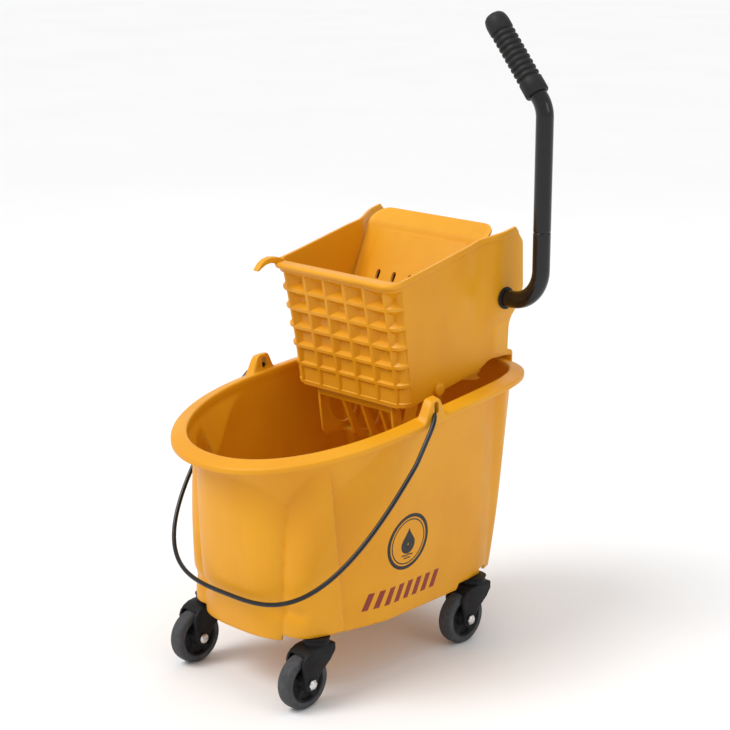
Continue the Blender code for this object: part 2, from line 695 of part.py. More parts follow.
def make_handle():
    """Elbow tube from the shaft, upper tube with an inward bend, and the grip."""
    y, z = SHAFT_YZ
    centre = (TUBE_X - ELBOW_R, z + ELBOW_R)
    bend = arc(centre, ELBOW_R, -90, 0, 8)
    start = half_width(z) + 0.0150
    lower = [(start, y, z)] + [(px, y, pz) for px, pz in bend] + [(TUBE_X, y, SEAM_Z - GAP / 2)]
    elbow = rod("handle_elbow_tube", lower, TUBE_R, BLACK_STEEL, 4)
    inside = [(start - 0.004, y, z)] + lower[1:-1] + [(TUBE_X, y, SEAM_Z + 0.004)]
    combine(elbow, rod("elbow_bore", inside, TUBE_R - TUBE_T, None, 3))
    turn = arc((TUBE_X - BEND_R, BEND_Z), BEND_R, 0, degrees(GRIP_TILT), 6)
    upper = [(TUBE_X, y, SEAM_Z + GAP / 2)] + [(px, y, pz) for px, pz in turn]
    end = Vector((turn[-1][0], y, turn[-1][1]))
    way = Vector((-sin(GRIP_TILT), 0, cos(GRIP_TILT)))
    upper += [tuple(end + way * (GRIP_LEN - 0.012))]
    tube = rod("handle_upper_tube", upper, TUBE_R, BLACK_STEEL, 4)
    inside = [(TUBE_X, y, SEAM_Z - 0.004)] + upper[1:-1] + [tuple(end + way * GRIP_LEN)]
    combine(tube, rod("tube_bore", inside, TUBE_R - TUBE_T, None, 3))
    bore = TUBE_R + GAP
    profile = [(0, GRIP_LEN), (0.009, GRIP_LEN - 0.001), (GRIP_R - 0.001, GRIP_LEN - 0.008)]
    profile += [(GRIP_R, GRIP_LEN - 0.014), (GRIP_R, 0.008), (GRIP_R - 0.001, 0.006)]
    profile += [(bore, 0.006), (bore, GRIP_LEN - 0.011), (0, GRIP_LEN - 0.011)]
    place = Matrix.Translation(end) @ Matrix.Rotation(-GRIP_TILT, 4, "Y")
    turned("handle_grip", profile, 24, place, RUBBER)


# -------------------------------------------------------------- assembly

def hang_on(name, pivot, nodes):
    """Parent nodes to an empty on their joint's axis, leaving them where they are."""
    empty = bpy.data.objects.new(name, None)
    empty.location = Vector(pivot) + FRAME_SHIFT
    empty.empty_display_size = 0.03
    parts.objects.link(empty)
    for node in nodes:
        child = parts.objects[node]
        child.parent = empty
        child.matrix_parent_inverse = Matrix.Translation(-empty.location)


make_bucket()
make_bail()
for corner_name, (corner_x, corner_y) in CASTER_XY.items():
    make_caster(corner_name, corner_x, corner_y)
make_housing()
make_drain_grate()
make_press_plate()
make_gears()
make_hardware()
make_handle()

# The frame's origin is under the middle of the whole object's box, on the floor
for item in list(parts.objects) + list(cutters.objects):
    item.location += FRAME_SHIFT

hang_on("bail_axis", (0, LUG_Y, BAIL_Z), ["bail_wire"])
for corner_name, (corner_x, corner_y) in CASTER_XY.items():
    turning = [f"{kind}_{corner_name}" for kind in ("caster_fork", "axle_bolt", "axle_nut")]
    hang_on(f"swivel_axis_{corner_name}", (corner_x, corner_y, FORK_TOP), turning)
    rolling = [f"{kind}_{corner_name}" for kind in ("wheel_hub", "wheel_tread")]
    hang_on(f"wheel_axis_{corner_name}", (corner_x, corner_y - TRAIL, AXLE_Z), rolling)
hang_on("shaft_axis", (0, *SHAFT_YZ), ["cross_shaft", "shaft_retaining_ring", "drive_gear_left",
                                       "drive_gear_right", "handle_elbow_tube",
                                       "handle_upper_tube", "handle_grip"])
hang_on("plate_axis", (0, *PIVOT_YZ), ["press_plate", "plate_sector_left", "plate_sector_right"])
hang_on("wringer_seat", (0, REAR_Y, SEAT_Z),
        ["wringer_housing", "drain_grate", "shaft_bushing_left", "shaft_bushing_right",
         "plate_hinge_pin", "hinge_pin_clip_left", "hinge_pin_clip_right", "return_spring",
         "rim_hanger_left", "rim_hanger_right"])
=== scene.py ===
"""Looks of a mop bucket with a side-press wringer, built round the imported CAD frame.

Pieces are drawn in the bucket's own frame, metres, with x = 0 on its middle plane, y = 0
between its casters and z = 0 on the floor, and ORIGIN carries them into the row's frame.
"""

import json
from math import cos, degrees, exp, hypot, pi, radians, sin, sqrt

import bmesh
import bpy
from mathutils import Matrix, Vector
from mathutils.bvhtree import BVHTree


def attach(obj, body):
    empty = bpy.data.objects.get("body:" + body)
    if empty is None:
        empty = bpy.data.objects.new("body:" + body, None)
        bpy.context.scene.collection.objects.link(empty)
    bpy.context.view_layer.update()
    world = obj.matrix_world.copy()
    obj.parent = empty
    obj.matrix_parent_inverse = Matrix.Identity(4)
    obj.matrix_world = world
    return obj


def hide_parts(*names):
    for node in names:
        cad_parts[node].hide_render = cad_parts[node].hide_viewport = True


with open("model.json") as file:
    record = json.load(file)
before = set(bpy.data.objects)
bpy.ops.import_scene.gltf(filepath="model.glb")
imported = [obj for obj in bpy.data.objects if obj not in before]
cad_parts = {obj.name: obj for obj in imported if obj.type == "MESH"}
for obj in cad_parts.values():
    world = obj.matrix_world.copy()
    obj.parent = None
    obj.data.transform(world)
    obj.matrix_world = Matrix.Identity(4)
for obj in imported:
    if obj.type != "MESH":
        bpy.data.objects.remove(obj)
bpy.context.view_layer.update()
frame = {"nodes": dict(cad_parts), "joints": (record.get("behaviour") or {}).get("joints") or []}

PIVOTS = {j["name"]: Vector(j["pos_m"]) for j in frame["joints"] if "pos_m" in j}
LUG_Y = -0.044
BAIL_Z = 0.3795
ORIGIN = PIVOTS["bail_swing"] - Vector((0, LUG_Y, BAIL_Z))
SHAFT = PIVOTS["handle_press"] - ORIGIN
PLATE_HINGE = PIVOTS["plate_press"] - ORIGIN
CASTERS = {c: PIVOTS[f"swivel_{c}"] - ORIGIN
           for c in ("front_left", "front_right", "rear_left", "rear_right")}
AXLES = {c: PIVOTS[f"roll_{c}"] - ORIGIN for c in CASTERS}

# Bucket
BASE_Z = 0.085
UNDERSIDE_Z = 0.1087
FLOOR_Z = 0.112
SKIRT_T = 0.004
WALL = 0.0035
CENTRE_Y = -0.075
RIM = {"half": 0.1556, "front": 0.2077, "rear": 0.2672, "n_front": 2.15, "n_rear": 5.0}
BASE = {"half": 0.126, "front": 0.172, "rear": 0.250, "n_front": 4.2, "n_rear": 6.0}
RIM_BAND = 0.0145
RIM_REAR = 0.2112
LUG_TOP = 0.397
WELL_TOP = 0.0935
WELL_R = 0.045
BUCKET_STEPS = 520
PETAL = 0.021       # depth of the valleys between petals
CONE = 0.088        # how far the steep upper wall would reach in at the base
PAST_FOLDS = 0.0285  # inset that clears the deepest fold
WALL_LEVELS = 44

# Bail: the wire turns in through the lugs at its ends
BAIL_R = 0.0031
BAIL_DROP = radians(47.5)
BAIL_REACH = 0.325
BAIL_HALF = 0.188
BAIL_POWER = 3.2
BAIL_END = 0.1585
BAIL_CORNER = 0.1788

# Caster
FORK_HALF = 0.0180
CHEEK_IN = 0.0135
COLLAR_R = 0.0178
CUP_TOP = 0.0931
CUP_FOOT = 0.0919
HARDWARE_IN = 0.0184

# Printed sign
SIGN = (-0.058, 0.193)
STRIPES = 8
STRIPE_PITCH = 0.0180
STRIPE_W = 0.0095
STRIPE_FOOT = 0.1085
STRIPE_H = 0.024
STRIPE_LEAN = 0.009
PRINT_LIFT = 0.00025

# Wringer
WRINGER_FOOT = (-0.030, 0.361)
WRINGER_TOP = (-0.065, 0.536)
HALF_FOOT = 0.1060
HALF_TOP = 0.1140
SIDE_T = 0.0035
FRONT_T = 0.015
REAR_Y = 0.176
PLATE_LEAN = radians(26.0)
PLATE_LEN = 0.2135
PLATE_FOOT_HALF = 0.0985
PLATE_HALF = 0.1095
PLATE_BAND = 0.028
BAND_LEAN = radians(32.0)
GRATE_RIBS = (-0.0235, 0.0115, 0.0465)
GRATE_SIDE = 0.070

# Handle
TUBE_R = 0.012
TUBE_X = 0.185
ELBOW_R = 0.048
SEAM_Z = 0.590
BEND_Z = 0.743
BEND_R = 0.040
GRIP_TILT = radians(39.0)
GRIP_R = 0.0165
GRIP_LEN = 0.1340

# Stage: angles as in the frame, lens in millimetres on a 36 mm sensor
FLOOR_REACH = 12.0
VIEW_HEIGHT = 0.40
CAMERA_LENS = 91.15
CAMERA_AZIMUTH = radians(44.233)
CAMERA_ELEVATION = radians(15.0)
CAMERA_DISTANCE = 2.5465

# Axes for outlines drawn in the side view: local x -> Y, y -> Z, z -> X
SIDE_VIEW = Matrix(((0, 0, 1, 0), (1, 0, 0, 0), (0, 1, 0, 0), (0, 0, 0, 1)))


# ------------------------------------------------------------- mesh tools

def step(low, high, value):
    """Smooth 0 to 1 between two values."""
    t = min(1.0, max(0.0, (value - low) / (high - low)))
    return t * t * (3 - 2 * t)


def bump(value, centre, width):
    return exp(-((value - centre) / width) ** 2)


def along(points, value):
    """Straight-line interpolation through (position, height) points."""
    for (a, ha), (b, hb) in zip(points, points[1:]):
        if value <= b:
            return ha + (hb - ha) * max(0.0, (value - a) / (b - a))
    return points[-1][1]


def arc(centre, radius, start, stop, count):
    """Points on an arc in a plane, angles in degrees."""
    turns = [radians(start + (stop - start) * i / count) for i in range(count + 1)]
    return [(centre[0] + radius * cos(a), centre[1] + radius * sin(a)) for a in turns]


def face_outward(bm):
    bmesh.ops.recalc_face_normals(bm, faces=bm.faces)
    if bm.calc_volume(signed=True) < 0:
        bmesh.ops.reverse_faces(bm, faces=bm.faces)


def solid(name, verts, faces, angle=35):
    """A closed body from points and faces, in the drawing frame."""
    mesh = bpy.data.meshes.new(name)
    mesh.from_pydata([tuple(v) for v in verts], [], faces)
    bm = bmesh.new()
    bm.from_mesh(mesh)
    face_outward(bm)
    bm.to_mesh(mesh)
    bm.free()
    obj = bpy.data.objects.new(name, mesh)
    bpy.context.scene.collection.objects.link(obj)
    soften(obj, angle)
    return obj


def soften(obj, angle=35):
    obj.data.shade_smooth()
    obj.data.set_sharp_from_angle(angle=radians(angle))


def skin(name, rings, ends="fan", angle=35):
    """Skin closed rings of equal length. Ends fan to a middle point, or the last meets the first."""
    count = len(rings[0])
    verts = [Vector(p) for ring in rings for p in ring]
    order = list(range(len(rings)))
    pairs = list(zip(order, order[1:]))
    if ends == "loop":
        pairs.append((order[-1], 0))
    faces = []
    for a, b in pairs:
        for i in range(count):
            j = (i + 1) % count
            faces.append((a * count + i, a * count + j, b * count + j, b * count + i))
    if ends == "fan":
        for k in (0, len(rings) - 1):
            middle = sum((Vector(p) for p in rings[k]), Vector()) / count
            verts.append(middle)
            for i in range(count):
                faces.append((k * count + i, k * count + (i + 1) % count, len(verts) - 1))
    return solid(name, verts, faces, angle)


def place(obj, matrix):
    """Move a mesh's points."""
    obj.data.transform(matrix)
    return obj


def along_x(x, y, z):
    """Local Z along world X, and local X straight down."""
    return Matrix.Translation((x, y, z)) @ Matrix.Rotation(pi / 2, 4, "Y")


def turned(name, profile, matrix, steps=64, ends="fan", wave=None, angle=35):
    """A profile of (radius, height) points turned about local Z; wave(angle, r, h) may bend it."""
    rings = []
    for r, h in profile:
        ring = []
        for i in range(steps):
            a = 2 * pi * i / steps
            radius, height = wave(a, r, h) if wave else (r, h)
            ring.append((radius * cos(a), radius * sin(a), height))
        rings.append(ring)
    return place(skin(name, rings, ends, angle), matrix)


def tube(name, points, radius, sides=24, angle=40):
    """A round bar swept along a list of points without twisting."""
    points = [Vector(p) for p in points]
    normal = None
    rings = []
    for i, point in enumerate(points):
        ahead = points[min(i + 1, len(points) - 1)]
        behind = points[max(i - 1, 0)]
        way = (ahead - behind).normalized()
        if normal is None:
            normal = way.orthogonal()
        normal = (normal - way * normal.dot(way)).normalized()
        other = way.cross(normal)
        size = radius(i / (len(points) - 1)) if callable(radius) else radius
        turns = [2 * pi * k / sides for k in range(sides)]
        rings.append([point + (normal * cos(a) + other * sin(a)) * size for a in turns])
    return skin(name, rings, "fan", angle)


def prism(name, outline, low, high, matrix=SIDE_VIEW, bevel=0.0, segments=2):
    """A flat outline given thickness, its edges rounded."""
    bm = bmesh.new()
    lower = [bm.verts.new((u, v, low)) for u, v in outline]
    upper = [bm.verts.new((u, v, high)) for u, v in outline]
    bm.faces.new(lower)
    bm.faces.new(upper)
    count = len(outline)
    for i in range(count):
        j = (i + 1) % count
        bm.faces.new((lower[i], lower[j], upper[j], upper[i]))
    face_outward(bm)
    if bevel:
        sharp = [e for e in bm.edges if e.calc_face_angle(0) > radians(30)]
        bmesh.ops.bevel(bm, geom=sharp, offset=bevel, segments=segments, affect="EDGES",
                        profile=0.5, clamp_overlap=True)
    bm.transform(matrix)
    face_outward(bm)
    mesh = bpy.data.meshes.new(name)
    bm.to_mesh(mesh)
    bm.free()
    obj = bpy.data.objects.new(name, mesh)
    bpy.context.scene.collection.objects.link(obj)
    soften(obj)
    return obj


def slab(name, low, high, bevel=0.0006, segments=2):
    """A box between two corners with rounded edges."""
    outline = [(low[1], low[2]), (high[1], low[2]), (high[1], high[2]), (low[1], high[2])]
    return prism(name, outline, low[0], high[0], SIDE_VIEW, bevel, segments)


def combine(obj, tools, operation):
    """Boolean tools into or out of a piece, and keep only the result."""
    for tool in tools:
        modifier = obj.modifiers.new("combine", "BOOLEAN")
        modifier.operation = operation
        modifier.solver = "EXACT"
        modifier.object = tool
    bpy.context.view_layer.update()
    evaluated = obj.evaluated_get(bpy.context.evaluated_depsgraph_get())
    mesh = bpy.data.meshes.new_from_object(evaluated)
    obj.modifiers.clear()
    obj.data = mesh
    for tool in tools:
        bpy.data.objects.remove(tool, do_unlink=True)
    soften(obj)
    return obj


def fit(obj, material, slot, body, *nodes):
    """Give a finished piece its material, place, body and the CAD nodes it stands for."""
    obj.data.materials.clear()
    obj.data.materials.append(material)
    obj.location = ORIGIN
    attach(obj, body)
    if nodes:
        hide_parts(*nodes)
    return obj


# -------------------------------------------------------------- materials

class Paint:
    """A Principled material whose colour, gloss and relief vary over the surface."""

    def __init__(self, name, **sockets):
        self.material = bpy.data.materials.new(name)
        self.material.use_nodes = True
        self.nodes = self.material.node_tree.nodes
        self.links = self.material.node_tree.links
        self.shader = self.nodes["Principled BSDF"]
        for socket, value in sockets.items():
            self.shader.inputs[socket.replace("_", " ")].default_value = value
        self.coordinates = self.nodes.new("ShaderNodeTexCoord").outputs["Object"]
        self.relief = None

    def noise(self, scale, detail=3.0, rough=0.55, stretch=None):
        node = self.nodes.new("ShaderNodeTexNoise")
        node.inputs["Scale"].default_value = scale
        node.inputs["Detail"].default_value = detail
        node.inputs["Roughness"].default_value = rough
        source = self.coordinates
        if stretch:
            mapping = self.nodes.new("ShaderNodeMapping")
            mapping.inputs["Scale"].default_value = stretch
            self.links.new(source, mapping.inputs["Vector"])
            source = mapping.outputs["Vector"]
        self.links.new(source, node.inputs["Vector"])
        return node.outputs["Fac"]

    def spread(self, source, low, high, to_low=0.0, to_high=1.0):
        node = self.nodes.new("ShaderNodeMapRange")
        for socket, value in zip(("From Min", "From Max", "To Min", "To Max"),
                                 (low, high, to_low, to_high)):
            node.inputs[socket].default_value = value
        self.links.new(source, node.inputs["Value"])
        return node.outputs["Result"]

    def maths(self, operation, a, b):
        node = self.nodes.new("ShaderNodeMath")
        node.operation = operation
        for socket, value in zip(node.inputs, (a, b)):
            if isinstance(value, float):
                socket.default_value = value
            else:
                self.links.new(value, socket)
        return node.outputs["Value"]

    def blend(self, share, first, second):
        node = self.nodes.new("ShaderNodeMix")
        node.data_type = "RGBA"
        for socket, value in ((node.inputs[6], first), (node.inputs[7], second)):
            if isinstance(value, tuple):
                socket.default_value = (*value, 1.0)
            else:
                self.links.new(value, socket)
        self.links.new(share, node.inputs[0])
        return node.outputs[2]

    def edges(self, low, high):
        """High on outward edges, where handling wears a surface."""
        geometry = self.nodes.new("ShaderNodeNewGeometry")
        return self.spread(geometry.outputs["Pointiness"], low, high)

    def colour(self, source):
        self.links.new(source, self.shader.inputs["Base Color"])

    def roughness(self, source):
        self.links.new(source, self.shader.inputs["Roughness"])

    def bump(self, source, depth):
        """Add one layer of relief, its depth in metres."""
        node = self.nodes.new("ShaderNodeBump")
        node.inputs["Strength"].default_value = 1.0
        node.inputs["Distance"].default_value = depth
        self.links.new(source, node.inputs["Height"])
        if self.relief:
            self.links.new(self.relief, node.inputs["Normal"])
        self.relief = node.outputs["Normal"]
        self.links.new(self.relief, self.shader.inputs["Normal"])


def yellow_plastic():
    """Semi-gloss polypropylene: slow hue drift, faint flow marks, fine moulding texture, scuffs."""
    paint = Paint("yellow_plastic", IOR=1.49, Specular_IOR_Level=0.32)
    drift = paint.spread(paint.noise(7.0, 2.0), 0.35, 0.65)
    base = paint.blend(drift, (0.700, 0.292, 0.004), (0.740, 0.330, 0.006))
    flow = paint.spread(paint.noise(18.0, 4.0, 0.6, (1.0, 1.0, 0.25)), 0.45, 0.75, 0.0, 0.35)
    base = paint.blend(flow, base, (0.640, 0.250, 0.003))
    scuffs = paint.spread(paint.noise(55.0, 6.0, 0.75, (1.0, 1.0, 3.5)), 0.66, 0.74, 0.0, 0.22)
    base = paint.blend(scuffs, base, (0.800, 0.410, 0.040))
    worn = paint.maths("MULTIPLY", paint.edges(0.53, 0.60), 0.35)
    paint.colour(paint.blend(worn, base, (0.850, 0.470, 0.070)))
    gloss = paint.spread(paint.noise(26.0, 5.0, 0.6), 0.3, 0.7, 0.34, 0.46)
    paint.roughness(paint.maths("ADD", gloss, paint.maths("MULTIPLY", scuffs, 0.5)))
    paint.bump(paint.noise(14.0, 2.0), 0.0009)
    paint.bump(paint.noise(900.0, 2.0), 0.00003)
    return paint.material


def black_plastic():
    """Satin nylon with a fine grain and dust-grey worn edges."""
    paint = Paint("black_plastic", IOR=1.5, Specular_IOR_Level=0.14)
    grain = paint.noise(700.0, 3.0, 0.6)
    patches = paint.spread(paint.noise(40.0, 4.0), 0.35, 0.7)
    base = paint.blend(patches, (0.007, 0.007, 0.008), (0.014, 0.014, 0.015))
    worn = paint.maths("MULTIPLY", paint.edges(0.54, 0.62), 0.5)
    paint.colour(paint.blend(worn, base, (0.045, 0.045, 0.047)))
    paint.roughness(paint.spread(paint.noise(90.0, 4.0), 0.3, 0.7, 0.34, 0.52))
    paint.bump(grain, 0.00008)
    return paint.material


def grey_tread():
    """Matte grey elastomer with dust, rolled marks round it and tiny pits."""
    paint = Paint("grey_tread", IOR=1.48, Specular_IOR_Level=0.30)
    dust = paint.spread(paint.noise(120.0, 5.0, 0.7), 0.4, 0.72)
    base = paint.blend(dust, (0.040, 0.042, 0.046), (0.072, 0.074, 0.078))
    marks = paint.spread(paint.noise(60.0, 4.0, 0.6, (9.0, 1.0, 1.0)), 0.5, 0.8, 0.0, 0.5)
    paint.colour(paint.blend(marks, base, (0.095, 0.096, 0.098)))
    paint.roughness(paint.spread(dust, 0.0, 1.0, 0.60, 0.82))
    paint.bump(paint.noise(450.0, 4.0, 0.7), 0.00018)
    return paint.material


def black_rubber():
    """Soft grip rubber: dull, with a fine pebble and smudges where hands hold it."""
    paint = Paint("black_rubber", IOR=1.5, Specular_IOR_Level=0.30)
    smudge = paint.spread(paint.noise(45.0, 4.0, 0.6), 0.4, 0.7)
    paint.colour(paint.blend(smudge, (0.007, 0.007, 0.007), (0.016, 0.016, 0.017)))
    paint.roughness(paint.spread(smudge, 0.0, 1.0, 0.50, 0.68))
    paint.bump(paint.noise(1100.0, 3.0, 0.6), 0.00010)
    return paint.material


def black_steel():
    """Glossy powder coat with its slight orange peel and a few dull rubs."""
    paint = Paint("black_steel", IOR=1.50, Specular_IOR_Level=0.35, Coat_Weight=0.15, Coat_Roughness=0.10)
    rubs = paint.spread(paint.noise(35.0, 6.0, 0.7, (1.0, 1.0, 4.0)), 0.58, 0.72)
    paint.colour(paint.blend(rubs, (0.005, 0.005, 0.006), (0.010, 0.010, 0.011)))
    paint.roughness(paint.spread(rubs, 0.0, 1.0, 0.20, 0.38))
    paint.bump(paint.noise(420.0, 2.0), 0.00007)
    return paint.material


def zinc_steel():
    """Bright zinc plate: cool and warm patches over turning marks."""
    paint = Paint("zinc_steel", Metallic=1.0)
    patches = paint.spread(paint.noise(150.0, 3.0), 0.35, 0.65)
    base = paint.blend(patches, (0.60, 0.61, 0.63), (0.70, 0.69, 0.65))
    dull = paint.spread(paint.noise(320.0, 5.0, 0.7), 0.6, 0.75, 0.0, 0.6)
    paint.colour(paint.blend(dull, base, (0.38, 0.38, 0.38)))
    marks = paint.noise(260.0, 3.0, 0.6, (14.0, 1.0, 1.0))
    paint.roughness(paint.spread(marks, 0.3, 0.7, 0.22, 0.42))
    paint.bump(marks, 0.00004)
    return paint.material


def ink(name, colour, faded):
    """Screen-printed ink, thin in places so that it reads a little lighter."""
    paint = Paint(name, IOR=1.48)
    thin = paint.spread(paint.noise(480.0, 5.0, 0.75), 0.52, 0.72, 0.0, 0.55)
    paint.colour(paint.blend(thin, colour, faded))
    paint.roughness(paint.spread(paint.noise(200.0, 3.0), 0.3, 0.7, 0.42, 0.58))
    paint.bump(paint.noise(700.0, 2.0), 0.00002)
    return paint.material


YELLOW = yellow_plastic()
BLACK = black_plastic()
TREAD = grey_tread()
RUBBER = black_rubber()
GLOSS = black_steel()
ZINC = zinc_steel()
BLACK_INK = ink("black_ink", (0.010, 0.009, 0.008), (0.050, 0.030, 0.010))
RED_INK = ink("red_ink", (0.235, 0.022, 0.010), (0.330, 0.060, 0.014))


# ----------------------------------------------------------------- bucket

def plan(shape, count):
    """Evenly spaced plan outline: elliptical nose, squarer rear, from the nose round +X."""
    dense = []
    total = 4 * count
    for i in range(total):
        angle = -pi / 2 + 2 * pi * i / total
        c = cos(angle)
        s = sin(angle)
        power = 2 / (shape["n_front"] if s < 0 else shape["n_rear"])
        reach = shape["front"] if s < 0 else shape["rear"]
        y = CENTRE_Y + (reach if s > 0 else -reach) * abs(s) ** power
        half = shape["half"] - 0.035 * max(0.0, y - CENTRE_Y)
        dense.append(Vector(((half if c > 0 else -half) * abs(c) ** power, y)))
    lengths = [0.0]
    for a, b in zip(dense, dense[1:] + dense[:1]):
        lengths.append(lengths[-1] + (b - a).length)
    points = []
    k = 0
    for i in range(count):
        target = lengths[-1] * i / count
        while lengths[k + 1] < target:
            k += 1
        share = (target - lengths[k]) / (lengths[k + 1] - lengths[k])
        points.append(dense[k].lerp(dense[(k + 1) % total], share))
    return points


def rim_height(y):
    """The rim climbs from the nose towards the rear."""
    run = y + 0.098
    return 0.366 + 0.125 * run - 0.17 * run * run


def fold(turn, rise, height):
    """How far the moulded wall stands off the plain tapered one.

    turn runs 0 at the nose to 0.5 at the rear, rise runs 0 at the base to 1 under the rim.
    A steep elliptical upper wall meets a squarer lower body: one petal on the nose, one at
    each front corner, then a flat side with a flute near the rear.
    """
    valley = 0.066 + 0.016 * rise
    crease = 0.1458 - 0.0199 * rise
    if turn < valley:
        petal = -PETAL * (turn / valley) ** 2.4
    else:
        petal = -PETAL * max(0.0, 1 - (turn - valley) / 0.036) ** 2
    side = 1 - step(crease, 0.2132, turn)
    past = step(crease - 0.002, crease + 0.003, turn)
    low = 0.50 * petal * (1 - past) - 0.0120 * side * past
    high = (petal - 0.006) * (1 - past) - 0.0240 * side * past
    body = low + (high - low) * rise
    cone = -CONE * (1 - rise) ** 0.9
    width = 0.0010
    mix = max(0.0, width - abs(body - cone)) / width
    wall = max(body, cone) + mix * mix * width / 4
    edge = 0.3764 - 0.0354 * rise
    back = 0.4132 - 0.0479 * rise
    wall -= 0.0085 * step(edge - 0.002, edge + 0.002, turn) * (1 - step(back - 0.004, back + 0.018, turn))
    wall -= 0.0065 * bump(height, 0.126, 0.010) * step(0.028, 0.055, turn) * (1 - step(0.088, 0.108, turn))
    return min(wall, 0.0)


class Wall:
    """The bucket's outer wall, worked out once on a grid of levels and read between them."""

    def __init__(self):
        self.plans = []
        for k in range(WALL_LEVELS + 1):
            share = k / WALL_LEVELS
            shape = {key: BASE[key] + (RIM[key] - BASE[key]) * share for key in BASE}
            self.plans.append(plan(shape, BUCKET_STEPS))

    def plain(self, i, rise):
        level = min(max(rise, 0.0), 1.0) * WALL_LEVELS
        k = min(int(level), WALL_LEVELS - 1)
        i %= BUCKET_STEPS
        return self.plans[k][i].lerp(self.plans[k + 1][i], level - k)

    def outward(self, i, rise):
        run = self.plain(i + 1, rise) - self.plain(i - 1, rise)
        return Vector((run.y, -run.x)).normalized()

    def top(self, i):
        return rim_height(self.plain(i, 1.0).y) - RIM_BAND

    def point(self, i, height, inset=0.0):
        """The wall at a height, moved in by a thickness."""
        rise = (height - BASE_Z) / (self.top(i) - BASE_Z)
        turn = min(i, BUCKET_STEPS - i) / BUCKET_STEPS
        out = fold(turn, rise, height) - inset
        flat = self.plain(i, rise) + self.outward(i, rise) * out
        return Vector((flat.x, flat.y, height))

    def unfolded(self, height, inset):
        """A level ring inside the wall without its folds."""
        ring = []
        for i in range(BUCKET_STEPS):
            rise = (height - BASE_Z) / (self.top(i) - BASE_Z)
            flat = self.plain(i, rise) - self.outward(i, rise) * inset
            ring.append((flat.x, flat.y, height))
        return ring


def skirt_foot(point):
    """The skirt's lower edge arches up round each caster."""
    near = min(hypot(point.x - c.x, point.y - c.y) for c in CASTERS.values())
    return BASE_Z + (WELL_TOP - BASE_Z) * (1 - step(WELL_R - 0.0015, WELL_R + 0.0012, near))


def lug_rise(y):
    """How much higher the rim stands at the bail lugs."""
    off = y - LUG_Y
    reach = 0.024 if off < 0 else 0.021
    return (LUG_TOP - rim_height(LUG_Y)) * (1 - step(0.0065, reach, abs(off)))


def rim_rings(wall):
    """The rolled rim from under its outer edge, over the top and down inside.

    Each step of the profile is how far it stands out, how far it lies below the rim's top,
    and its share of the lift at the bail lugs.
    """
    profile = [(0.0010, 0.0144, 0), (0.0080, 0.0132, 0), (0.0176, 0.0122, 0), (0.0187, 0.0117, 0)]
    profile += [(0.0190, 0.0108, 0), (0.0190, 0.0076, 0.01), (0.0189, 0.0064, 0.10), (0.0186, 0.0055, 0.50)]
    profile += [(0.0178, 0.0048, 0.95), (0.0165, 0.0042, 1), (0.0120, 0.0030, 1), (0.0070, 0.0018, 1)]
    profile += [(0.0042, 0.0010, 0.95), (0.0030, 0.0007, 0.7), (0.0020, 0.0004, 0.3), (0.0010, 0.0001, 0.05)]
    profile += [(-0.0006, 0.0001, 0), (-0.0022, 0.0010, 0), (-0.0032, 0.0034, 0), (-0.0036, 0.0075, 0)]
    profile += [(-0.0036, 0.0120, 0)]
    rings = []
    for grow, drop, lift in profile:
        ring = []
        for i in range(BUCKET_STEPS):
            flat = wall.plain(i, 1.0) + wall.outward(i, 1.0) * grow
            height = rim_height(flat.y) - drop + lift * lug_rise(flat.y)
            ring.append((flat.x, flat.y, height))
        rings.append(ring)
    return rings


def shrunk(ring, share):
    """A ring drawn in towards the bucket's middle."""
    middle = Vector((0, -0.045))
    made = []
    for x, y, z in ring:
        flat = middle + (Vector((x, y)) - middle) * share
        made.append((flat.x, flat.y, z))
    return made


